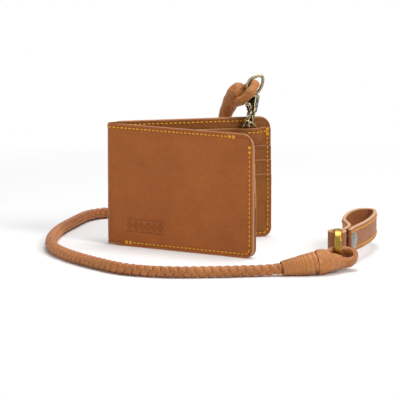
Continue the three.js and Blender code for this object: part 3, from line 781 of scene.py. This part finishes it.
class Line:
    """A line in space with a frame carried along it, read by the distance from its start."""

    def __init__(self, points, up):
        self.points = points
        self.steps = distances(points)
        self.length = self.steps[-1]
        self.tangents = unit(np.gradient(points, axis=0))
        over = []
        for tangent in self.tangents:
            up = unit(up - tangent * np.dot(up, tangent))
            over.append(up)
        self.over = np.array(over)
        self.side = np.cross(self.tangents, self.over)

    def read(self, table, distance):
        return np.stack([np.interp(distance, self.steps, table[:, axis]) for axis in range(3)], axis=-1)

    def surface(self, distance, angle, radius):
        """A point at an angle and a radius about the line; angle 0 is over it."""
        distance, angle, radius = np.broadcast_arrays(distance, angle, radius)
        beyond = np.clip(distance, 0, self.length)
        centre = self.read(self.points, beyond)
        centre = centre + (distance - beyond)[..., None] * self.read(self.tangents, beyond)
        out = np.cos(angle)[..., None] * self.read(self.over, beyond)
        out = out + np.sin(angle)[..., None] * self.read(self.side, beyond)
        return centre + radius[..., None] * out

    def nearest(self, point):
        return self.steps[np.argmin(np.linalg.norm(self.points - point, axis=1))]


def cord_line():
    """The cord's centre line, from the collar under the hook to the wrapping at the tail."""
    bend_back, bend_left, bend_right = (pivot("cord_bend_" + name) for name in ("back", "left", "right"))
    side = ring_centres("cord_side", bend_back, bend_left - bend_back, bend_left)[1:]
    drop = ring_centres("cord_drop", bend_back, bend_back - side[0])
    front = ring_centres("cord_front", bend_left, bend_left - side[-1], bend_right)[1:]
    tail = ring_centres("cord_tail", bend_right, bend_right - front[-1])
    points = np.concatenate([drop[::-1], [bend_back], side, [bend_left], front, [bend_right], tail])
    return Line(smooth_line(points), np.array([0.0, 0.0, 1.0]))


CORD = cord_line()

# ---------------------------------------------------------------- braid
# Four flat strands: two wind one way and two the other, and each passes over and under in turn.
STRAND_TURN = 11.6  # length of cord in which a strand goes once round
STRAND_HALF_WIDTH = 2.45
STRAND_HALF_THICKNESS = 0.72
STRAND_MIDDLE_RADIUS = 2.83
STRAND_WAVE = 0.7


def braid_twist(distance):
    """The braid's rows turn a little round the cord between its left bend and its front."""
    at_left = CORD.nearest(pivot("cord_bend_left"))
    return math.radians(34) - math.radians(80) * (1 - smoothstep((distance - at_left + 20) / 110))


def braid_wave(distance):
    """The strands lie flatter where the cord has been pulled straight, towards its tail."""
    at_right = CORD.nearest(pivot("cord_bend_right"))
    return lerp(STRAND_WAVE, 0.6 * STRAND_WAVE, smoothstep((distance - at_right + 110) / 60))


def strand_rings(start, end, way, phase):
    """Rings of one strand between two distances along the cord, how near each point is to its edges, and
    the painted shade where it passes under the other strands.
    """
    count = max(6, round((end - start) / 0.55))
    distance = np.linspace(start, end, count)[:, None]
    angle = way * 2 * math.pi * distance / STRAND_TURN + phase
    over = way * np.cos(2 * angle)
    turn = round_angles(12)
    flat = squared(np.cos(turn), 0.75)
    thick = squared(np.sin(turn), 0.8)
    width = STRAND_HALF_WIDTH * (0.94 + 0.06 * over)
    crown = 0.22 * (1 - flat ** 2) - 0.1
    middle = STRAND_MIDDLE_RADIUS + braid_wave(distance) * over
    radius = middle + STRAND_HALF_THICKNESS * thick + crown
    slope = math.atan2(2 * math.pi * STRAND_MIDDLE_RADIUS * 1.15, STRAND_TURN)
    across = flat * width
    points = CORD.surface(
        distance - across * math.sin(slope),
        angle + way * across * math.cos(slope) / (STRAND_MIDDLE_RADIUS + STRAND_WAVE)
        + braid_twist(distance),
        radius,
    )
    edge = np.broadcast_to(np.abs(flat) ** 5 * (thick > -0.5), radius.shape)
    # painted shade where the strand passes under the others
    depth = np.clip((0.25 - over) * 0.8, 0, 1) * np.ones_like(radius)
    return points, edge, np.broadcast_to(depth, radius.shape)


def braid(name, start, end):
    """A length of braided cord: four strands round a thin core."""
    tubes, edges, grooves = [], [], []
    for way in (1, -1):
        for phase in (0, math.pi):
            rings, edge, depth = strand_rings(start, end, way, phase)
            tubes.append(rings)
            edges.append(edge)
            grooves.append(depth)
    places = np.linspace(start, end, max(4, round((end - start) / 2.5)))[:, None]
    core = CORD.surface(places, round_angles(12), 1.5)
    tubes.append(core)
    edges.append(np.zeros(core.shape[:2]))
    # painted shade: the core, seen only in the gaps between strands, is darkened all over
    grooves.append(np.ones(core.shape[:2]))
    points, faces = join_tubes(tubes)
    edge = 0.5 * np.concatenate([values.ravel() for values in edges])
    groove = 0.8 * np.concatenate([values.ravel() for values in grooves])
    return make_piece(name, points, faces, BRAID, edge=edge, groove=groove)


def bent_braid(node, start, end, joint, reach):
    """A length of cord from start to end, taking in the bend at the joint as the cord lies."""
    obj = braid(node.replace("cord", "braid"), start, end)
    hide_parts(node)
    at = CORD.nearest(pivot(joint))
    before = CORD.read(CORD.points, at - reach)
    after = CORD.read(CORD.points, at + reach)
    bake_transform(obj)


def build_cord():
    """The cord's four lengths, each cut where it lies straight between two bends."""
    back, left, right = (CORD.nearest(pivot("cord_bend_" + name)) for name in ("back", "left", "right"))
    drop_end = back - 66
    side_end = (back + left) / 2
    front_end = (left + right) / 2
    drop = braid("braid_drop", 0.0, drop_end)
    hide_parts("cord_drop")
    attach(drop, "leash_top")
    bent_braid("cord_side", drop_end, side_end, "cord_bend_back", 26)
    bent_braid("cord_front", side_end, front_end, "cord_bend_left", 24)
    bent_braid("cord_tail", front_end, CORD.length, "cord_bend_right", 11)


build_cord()

# ---------------------------------------------------------------- wrapping and collars
def end_rings(node, heading):
    """Centre and greatest radius of a round CAD piece at its near and its far end."""
    points = node_points(node)
    along = points @ unit(heading)
    ends = []
    for chosen in (along < along.min() + 0.9, along > along.max() - 0.9):
        ring = points[chosen]
        centre = ring.mean(axis=0)
        ends.append((centre, np.linalg.norm(ring - centre, axis=1).max()))
    return ends


def lathe_rings(line, places, radii, sides):
    return line.surface(np.asarray(places)[:, None], round_angles(sides), np.asarray(radii)[:, None])


LACE_TURNS = 11
LACE_HALF_THICKNESS = 0.62
CORE_REACH = 2.5  # how far the wrapping's core runs on under the collar


def lace_rings(axis, start_radius, end_radius):
    """Rings of the wound lace, and how near each point is to its edges and to the gaps between turns, where
    painted shade lies.
    """
    wound = np.linspace(0, 1, LACE_TURNS * 44)
    pace = 0.85 + 0.75 * smoothstep((wound - 0.62) / 0.3)  # the last turns lie wider
    pace = pace / pace.mean()
    along = np.concatenate([[0], np.cumsum((pace[1:] + pace[:-1]) / 2)]) / (len(wound) - 1)
    lace_half_width = axis.length / LACE_TURNS * 0.56 * pace
    angle = 2 * math.pi * LACE_TURNS * wound + 2.4
    middle = lerp(start_radius, end_radius, wound) - LACE_HALF_THICKNESS
    tuck = np.minimum(smoothstep(wound * 40), smoothstep((1 - wound) * 40))
    middle = middle - 1.1 * (1 - tuck)
    turn = round_angles(12)
    flat = squared(np.cos(turn), 0.7)
    thick = squared(np.sin(turn), 0.8)
    lean = 0.28 * flat
    wobble = 0.1 * np.sin(angle * 3.1 + 1) + 0.07 * np.sin(angle * 7.3)
    start_inset = 0.9 * lace_half_width[0]
    end_inset = 0.6 * lace_half_width[-1]
    place = lerp(start_inset, axis.length - end_inset, along)
    rings = axis.surface(
        place[:, None] + lace_half_width[:, None] * flat + wobble[:, None] * 0.6,
        angle[:, None],
        middle[:, None] + LACE_HALF_THICKNESS * thick + lean + wobble[:, None],
    )
    edge = np.broadcast_to(0.2 * (np.abs(flat - 0.5) < 0.3) * (thick > 0), rings.shape[:2])
    # painted shade at the lace's side edges, in the gaps between turns
    groove = np.broadcast_to(1.0 * (np.abs(flat) > 0.93), rings.shape[:2])
    return rings, edge, groove


def core_rings(axis, start_radius, end_radius):
    """The core that shows between the lace's turns and runs on under the collar; it is darkened all over as
    painted shade.
    """
    places = np.linspace(0.5, axis.length + CORE_REACH, 14)
    radii = lerp(start_radius, end_radius, np.minimum(places / axis.length, 1))
    marks = [axis.length - 2, axis.length, axis.length + CORE_REACH]
    return lathe_rings(axis, places, radii - np.interp(places, marks, [1.3, 0.8, 2.2]), 40)


def build_wrapping():
    """A flat lace wound round the end of the cord, each turn lying against the last."""
    (start, start_radius), (end, end_radius) = end_rings("wrap_lace", CORD.tangents[-1])
    axis = Line(np.linspace(start, end, 60), np.array([0.0, 0.0, 1.0]))
    rings, edge, groove = lace_rings(axis, start_radius, end_radius)
    core = core_rings(axis, start_radius, end_radius)
    core_size = core.shape[0] * core.shape[1]
    points, faces = join_tubes([rings, core])
    edges = np.concatenate([edge.ravel(), np.zeros(core_size)])
    # painted shade: the core is darkened all over
    grooves = np.concatenate([groove.ravel(), np.ones(core_size)])
    obj = make_piece("lace_wrapping", points, faces, LACE, edge=edges, groove=grooves)
    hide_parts("wrap_lace")
    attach(obj, "leash_tail")


def creases(points, size, strength, seed):
    """Soft wrinkles: a smooth pseudo-random height for each point, at three sizes."""
    random = np.random.default_rng(seed)
    height = np.zeros(len(points))
    for scale, share in ((size, 1.0), (size / 2.1, 0.5), (size / 4.3, 0.25)):
        for _ in range(5):
            direction = unit(random.normal(size=3))
            height += share * np.sin(points @ direction / scale * 2 * math.pi + random.uniform(0, 6.3)) / 5
    return strength * height


def swell(obj, amount):
    """Moves a piece's surface out along its normals by one amount, or by one for each point."""
    mesh = obj.data
    points = mesh_points(mesh)
    normals = np.array([vertex.normal for vertex in mesh.vertices], float)
    points = points + normals * np.broadcast_to(amount, len(points))[:, None]
    mesh.vertices.foreach_set("co", (points * MM).astype(np.float32).ravel())
    mesh.update()


def wrinkle(obj, size, strength, seed):
    """Soft creases over a whole piece."""
    swell(obj, creases(mesh_points(obj.data), size, strength, seed))


def build_ring_tab():
    tab = soft_copy("ring_tab_leather", ["ring_tab"], 0.2, 3, LINING)
    wrinkle(tab, 5, 0.08, 11)
    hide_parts("ring_tab")
    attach(tab, "back_leaf")


def loop_band(node, wire, half_thickness, half_width, outward):
    """A closed leather band that follows a CAD loop of round wire."""
    corners = node_points(node)
    centre = (corners.min(axis=0) + corners.max(axis=0)) / 2
    _, _, (long_axis, short_axis, normal) = np.linalg.svd(corners - centre, full_matrices=False)
    half_long = np.abs((corners - centre) @ long_axis).max() - wire
    half_short = np.abs((corners - centre) @ short_axis).max() - wire
    turn = np.linspace(0, 2 * math.pi, 72, endpoint=False)[:, None]
    path = centre + half_long * np.cos(turn) * long_axis + half_short * np.sin(turn) * short_axis
    tangent = unit(np.roll(path, -1, axis=0) - np.roll(path, 1, axis=0))
    out = unit(np.cross(tangent, normal))
    out = out * np.sign(np.sum(out * (path - centre), axis=1))[:, None]
    section = np.linspace(0, 2 * math.pi, 16, endpoint=False)
    thick = half_thickness * squared(np.cos(section), 0.8) + outward
    wide = half_width * squared(np.sin(section), 0.8)
    rings = path[:, None] + thick[:, None] * out[:, None] + wide[:, None] * normal
    return join_tubes([rings], closed=True)


def round_body(path, radii):
    """A round body of changing radius along a path."""
    line = Line(path, np.array([0.3, 1.0, 0.2]))
    return join_tubes([lathe_rings(line, line.steps, radii, 28)])


def build_top_loop():
    """The eye on the bail: one thick folded band that runs down into its collar."""
    band = loop_band("top_loop", 2.1, 2.7, 3.4, 0.65)
    share = np.linspace(-0.02, 0.84, 16)[:, None]
    arch = 4 * share * (1 - share) * np.array([0, 0, 7.5])
    neck = lerp(CORD.points[0], centre_of("top_loop"), share) + arch
    radii = np.interp(share[:, 0], [0, 0.3, 0.55, 0.72, 0.8, 0.84], [4.9, 6.0, 7.2, 7.0, 5.4, 3.2])
    collar = round_body(neck, radii)
    obj = soft_copy("eye_leather", [], 0.34, 8, LACE, extra=[band, collar])
    wrinkle(obj, 8, 0.5, 9)
    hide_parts("top_collar", "top_loop")
    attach(obj, "leash_top")


def build_tail_loop():
    """The loop on the ring, and the collar that its two ends run into."""
    band = loop_band("end_loop", 1.15, 2.3, 4.3, 1.1)
    near_side = centre_of("end_loop") + np.array([0, -5.2, -2.4])
    path = lerp(centre_of("end_collar"), near_side, np.linspace(0, 1, 8)[:, None])
    filler = round_body(path, np.linspace(7.8, 4.2, 8))
    obj = soft_copy("tail_loop_leather", ["end_collar", "end_loop"], 0.34, 7, LACE, extra=[band, filler])
    wrinkle(obj, 7, 0.45, 5)
    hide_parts("end_collar", "end_loop")
    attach(obj, "leash_tail")


build_wrapping()
build_top_loop()
build_tail_loop()
build_ring_tab()

# ---------------------------------------------------------------- belt strap
STRAP_LOW, STRAP_HIGH = box_mm("belt_strap")
STRAP_MIDDLE = (STRAP_LOW[2] + STRAP_HIGH[2]) / 2
STRAP_HALF_WIDTH = (STRAP_HIGH[2] - STRAP_LOW[2]) / 2


STRAP_SWELL = 0.38
STRAP_SEAM_INSET = 2.4
STRAP_STITCH_PITCH = 3.4
STRAP_STITCH_LENGTH = 2.7
TRACE_STEP = 0.5
CUT_GAP = 0.15
SNAP_OUT = unit(centre_of("snap_cap") - centre_of("snap_post"))
STRAP_ALONG = np.array([-SNAP_OUT[1], SNAP_OUT[0], 0])
STRAP_ALONG = STRAP_ALONG * np.sign(STRAP_ALONG @ (pivot("flap_open") - pivot("belt_ring_turn")))


def strap_edges(points):
    """The strap's cut edges are its upper and lower ones."""
    return {"edge": smoothstep((np.abs(points[:, 2] - STRAP_MIDDLE) / STRAP_HALF_WIDTH - 0.93) / 0.05)}


def cut(obj, place, direction):
    """Keeps what lies ahead of a plane and closes the cut."""
    work = bmesh.new()
    work.from_mesh(obj.data)
    everything = work.verts[:] + work.edges[:] + work.faces[:]
    bmesh.ops.bisect_plane(work, geom=everything, plane_co=Vector(place * MM), plane_no=Vector(direction),
                           clear_inner=True)
    open_edges = [edge for edge in work.edges if edge.is_boundary]
    bmesh.ops.holes_fill(work, edges=open_edges)
    work.to_mesh(obj.data)
    work.free()
    clean(obj.data, 0)


def build_strap():
    """The eye round the ring, and the two arms as one piece of leather that bends at its far end."""
    ends = []
    flap_start = (node_points("belt_flap") @ STRAP_ALONG).min() - STRAP_SWELL - CUT_GAP
    for name, direction in (("belt_strap_eye", -STRAP_ALONG), ("belt_strap_arms", STRAP_ALONG)):
        obj = soft_copy(name, ["belt_strap", "belt_flap"], 0.3, 4, STRAP, strap_edges)
        swell(obj, STRAP_SWELL)
        cut(obj, flap_start * STRAP_ALONG, direction)
        ends.append(obj)
    eye, arms = ends
    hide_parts("belt_strap")
    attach(eye, "belt_strap")
    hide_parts("belt_strap", "belt_flap")
    return arms


def trace_strap(tree, start, along, outward, height):
    """Points and normals along one face of the strap, at one height, found by rays from outside."""
    found = []
    for distance in np.arange(18, 112, TRACE_STEP):
        origin = np.array([start[0], start[1], 0]) + along * distance + outward * 60
        origin[2] = height
        hit, normal, _, _ = tree.ray_cast(Vector(origin * MM), Vector(-outward))
        if hit is not None:
            found.append((np.array(hit) / MM, np.array(normal)))
    points, normals = zip(*found)
    return np.array(points), np.array(normals)


def lay_strap_thread(strap):
    """Two rows of thread along each outer face of the strap, near its upper and lower edges."""
    start = pivot("belt_ring_turn")
    along = unit((pivot("flap_open") - start) * (1, 1, 0))
    aside = np.array([-along[1], along[0], 0])
    tree = BVHTree.FromObject(strap, bpy.context.evaluated_depsgraph_get())
    rise = STRAP_HALF_WIDTH - STRAP_SEAM_INSET
    rows = []
    for outward in (-aside, aside):
        for height in (STRAP_MIDDLE - rise, STRAP_MIDDLE + rise):
            points, normals = trace_strap(tree, start, along, outward, height)
            lengths = distances(points)
            for place in np.arange(2.0, lengths[-1] - 2, STRAP_STITCH_PITCH):
                index = int(np.searchsorted(lengths, place))
                on_one_face = 1 <= index < len(points) and lengths[index] - lengths[index - 1] <= 1.6
                if on_one_face:
                    ahead = points[min(index + 1, len(points) - 1)]
                    rows.append((points[index], unit(ahead - points[index - 1]), normals[index]))
    centres, alongs, normals = (np.array(column) for column in zip(*rows))
    return stitches("strap_stitching", centres, alongs, normals, STRAP_STITCH_LENGTH)


def blend_over_flap(obj):
    """Bakes the piece's placement into its mesh."""
    hinge = pivot("flap_open")
    at_snap = (centre_of("snap_stud") + centre_of("snap_socket")) / 2
    along = unit((hinge + 0.6 * SNAP_OUT - at_snap) * (1, 1, 0))
    across = np.array([along[1], -along[0], 0])
    across = across * np.sign(across @ SNAP_OUT)
    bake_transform(obj)


strap_arms = build_strap()
strap_thread = lay_strap_thread(strap_arms)
blend_over_flap(strap_arms)
blend_over_flap(strap_thread)

# ---------------------------------------------------------------- metal
def metal(name, node, body, voxel, rounds, material):
    obj = soft_copy(name, [node], voxel, rounds, material)
    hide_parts(node)
    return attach(obj, body)


metal("ring_wire", "d_ring", "d_ring", 0.14, 6, ANTIQUE)

# The hook's own frame: up its shank, across its thickness (the trigger's pin) and away from its mouth.
HOOK_UP = unit(np.array(JOINTS["bail_turn"]["axis"], float))
HOOK_UP = HOOK_UP * np.sign(HOOK_UP[2])
HOOK_THROUGH = unit(np.array(JOINTS["trigger_press"]["axis"], float))
HOOK_BACK = np.cross(HOOK_THROUGH, HOOK_UP)
TRIGGER_SIDE = node_points("hook_trigger").mean(axis=0) - pivot("trigger_press")
HOOK_BACK = HOOK_BACK * np.sign(-TRIGGER_SIDE @ HOOK_BACK)
PIN_BACK, PIN_UP = 0.3, 9.5  # the pin, from the middle of the claw
CLAW_MIDDLE = pivot("trigger_press") - PIN_BACK * HOOK_BACK - PIN_UP * HOOK_UP
CLAW_RADIUS = 3.95


def in_hook(back, up):
    """Points in the hook's plane, from the middle of its claw."""
    back, up = (np.asarray(value, float)[..., None] for value in (back, up))
    return CLAW_MIDDLE + back * HOOK_BACK + up * HOOK_UP


def flat_bar(path, half_thickness, half_width):
    """A bar along a path in the hook's plane; its width lies across that plane."""
    tangent = unit(np.gradient(path, axis=0))
    out = unit(np.cross(tangent, HOOK_THROUGH))
    section = np.linspace(0, 2 * math.pi, 16, endpoint=False)
    thick = np.outer(half_thickness, squared(np.cos(section), 0.7))
    wide = np.outer(half_width, squared(np.sin(section), 0.7))
    return join_tubes([path[:, None] + thick[..., None] * out[:, None] + wide[..., None] * HOOK_THROUGH])


def turned_head():
    """The round swivel head, with a rim above and below. Its profile is in radius and height."""
    profile = np.array([
        (2.2, 12.4), (3.3, 12.6), (3.5, 13.4), (3.1, 14.2), (3.0, 15.6), (3.2, 17.0),
        (3.9, 17.8), (4.2, 18.6), (4.1, 19.3), (3.2, 19.8), (2.2, 19.9),
    ])
    turn = np.linspace(0, 2 * math.pi, 36, endpoint=False)
    across = np.cos(turn)[:, None] * HOOK_BACK + np.sin(turn)[:, None] * HOOK_THROUGH
    rings = in_hook(0.3, profile[:, 1])[:, None] + profile[:, 0][:, None, None] * across
    return join_tubes([rings])


def build_hook_body():
    """The casting: the CAD body with a turned head, and a back that runs down into the claw."""
    angles = np.radians(np.linspace(0, -188, 30))
    claw = in_hook(CLAW_RADIUS * np.cos(angles), CLAW_RADIUS * np.sin(angles))
    back = in_hook(np.linspace(3.5, 4.0, 12), np.linspace(14.5, 0.6, 12))
    path = np.concatenate([back, claw])
    share = np.linspace(0, 1, len(path))
    half_thickness = np.interp(share, [0, 0.3, 0.55, 0.8, 1], [1.2, 1.0, 1.15, 1.1, 0.7])
    half_width = np.interp(share, [0, 0.3, 0.55, 0.8, 1], [2.5, 1.7, 1.9, 1.75, 1.2])
    bar = flat_bar(path, half_thickness, half_width)
    obj = soft_copy("hook_casting", ["hook_body"], 0.15, 9, ANTIQUE, extra=[bar, turned_head()])
    swell(obj, 0.2)
    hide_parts("hook_body")
    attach(obj, "hook")


def build_lever():
    """The trigger: its CAD lever with a curved thumb piece, and a gate that closes the hook's mouth."""
    thumb_path = in_hook([0.2, -2.0, -4.2, -6.6, -9.0, -11.2], [9.7, 9.3, 9.4, 10.4, 12.0, 13.4])
    thumb = flat_bar(thumb_path, [1.7, 1.6, 1.3, 1.1, 0.9, 0.7], [0.9, 1.3, 1.9, 2.2, 2.3, 1.9])
    gate_path = in_hook([-0.6, -1.9, -3.0, -3.7, -4.0], [9.4, 7.4, 5.2, 3.0, 1.2])
    gate = flat_bar(gate_path, [1.5, 1.6, 1.5, 1.3, 1.0], [1.5, 1.8, 1.8, 1.6, 1.3])
    obj = soft_copy("hook_lever", ["hook_trigger"], 0.15, 9, ANTIQUE, extra=[thumb, gate])
    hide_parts("hook_trigger")
    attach(obj, "trigger")


build_hook_body()
build_lever()
metal("hook_pin", "trigger_pin", "hook", 0.1, 3, ANTIQUE)
metal("hook_spring", "trigger_spring", "hook", 0.1, 2, SPRING)
swell(metal("hook_bail", "swivel_bail", "bail", 0.16, 4, ANTIQUE), 0.2)
metal("belt_ring_band", "belt_ring", "belt_ring", 0.22, 5, BRIGHT)
metal("snap_dome", "snap_cap", "belt_flap", 0.16, 4, NICKEL)
metal("snap_cup", "snap_socket", "belt_flap", 0.12, 2, NICKEL)
metal("snap_button", "snap_stud", "belt_strap", 0.12, 2, NICKEL)
metal("snap_rivet", "snap_post", "belt_strap", 0.12, 3, NICKEL)

# ---------------------------------------------------------------- stage, light and camera
AMBIENT = 0.3
TABLE_CENTRE = (0.03, -0.06, 0.03)
VIEW_AZIMUTH = -13.87
VIEW_ELEVATION = 9.31
VIEW_DISTANCE = 2.287
VIEW_TARGET = (59.3, -14.6, 32.25)  # along and in front of the fold, and above the table
LENS = 280.7


def soft_light(name, place, size, power):
    """A round lamp that faces the middle of the table."""
    data = bpy.data.lights.new(name, "AREA")
    data.shape = "DISK"
    data.size = size
    data.energy = power
    lamp = bpy.data.objects.new(name, data)
    lamp.location = place
    lamp.rotation_mode = "QUATERNION"
    lamp.rotation_quaternion = (Vector(TABLE_CENTRE) - Vector(place)).to_track_quat("-Z", "Y")
    bpy.context.scene.collection.objects.link(lamp)


def make_floor():
    """A white table top that fades into the white background some way off."""
    material, tree, surface = new_material("studio_floor")
    surface.inputs["Base Color"].default_value = (0.93, 0.935, 0.94, 1)
    surface.inputs["Roughness"].default_value = 0.9
    surface.inputs["Specular IOR Level"].default_value = 0.1
    place = add(tree, "NewGeometry").outputs["Position"]
    distance = add(tree, "VectorMath", {0: place}, operation="LENGTH").outputs["Value"]
    glow = add(tree, "Emission", {"Color": (1, 1, 1, 1), "Strength": 1.0}).outputs[0]
    share = ramp(tree, distance, 0.24, 0.5)
    fade = add(tree, "MixShader", {0: share, 1: surface.outputs[0], 2: glow}).outputs[0]
    tree.links.new(fade, tree.nodes["Material Output"].inputs["Surface"])
    half = 6000
    corners = [(-half, -half, 0), (half, -half, 0), (half, half, 0), (-half, half, 0)]
    mesh = bpy.data.meshes.new("studio_floor")
    mesh.from_pydata([tuple(c * MM for c in corner) for corner in corners], [], [(0, 1, 2, 3)])
    mesh.materials.append(material)
    floor = bpy.data.objects.new("studio_floor", mesh)
    bpy.context.scene.collection.objects.link(floor)


def make_world():
    """A white background that lights the object only softly."""
    world = bpy.data.worlds.new("studio")
    world.use_nodes = True
    tree = world.node_tree
    background = tree.nodes["Background"]
    background.inputs["Color"].default_value = (1, 1, 1, 1)
    seen = add(tree, "LightPath").outputs["Is Camera Ray"]
    mirrored = add(tree, "LightPath").outputs["Is Glossy Ray"]
    white = maths(tree, "MAXIMUM", seen, maths(tree, "MULTIPLY", mirrored, 0.75))
    tree.links.new(ramp(tree, white, 0.0, 1.0, AMBIENT, 1.0), background.inputs["Strength"])
    bpy.context.scene.world = world


def make_camera():
    """A long lens, level with the wallet and a little above it."""
    azimuth = math.radians(VIEW_AZIMUTH)
    elevation = math.radians(VIEW_ELEVATION)
    data = bpy.data.cameras.new("camera")
    data.lens = LENS
    data.sensor_width = 36
    data.clip_end = 20
    back = Vector((
        math.sin(azimuth) * math.cos(elevation),
        -math.cos(azimuth) * math.cos(elevation),
        math.sin(elevation),
    ))
    target = Vector((FOLD[0] + VIEW_TARGET[0], FOLD[1] + VIEW_TARGET[1], VIEW_TARGET[2])) * MM
    camera = bpy.data.objects.new("camera", data)
    camera.location = target + back * VIEW_DISTANCE
    camera.rotation_mode = "QUATERNION"
    camera.rotation_quaternion = (-back).to_track_quat("-Z", "Y")
    bpy.context.scene.collection.objects.link(camera)
    bpy.context.scene.camera = camera


make_floor()
make_world()
make_camera()
soft_light("overhead", (0.2, 0.0, 1.25), 0.8, 10.5)
soft_light("front", (0.75, -1.2, 1.05), 0.6, 12.5)
soft_light("left", (-1.1, -0.7, 0.6), 0.6, 2)
bpy.context.scene.view_settings.view_transform = "Standard"
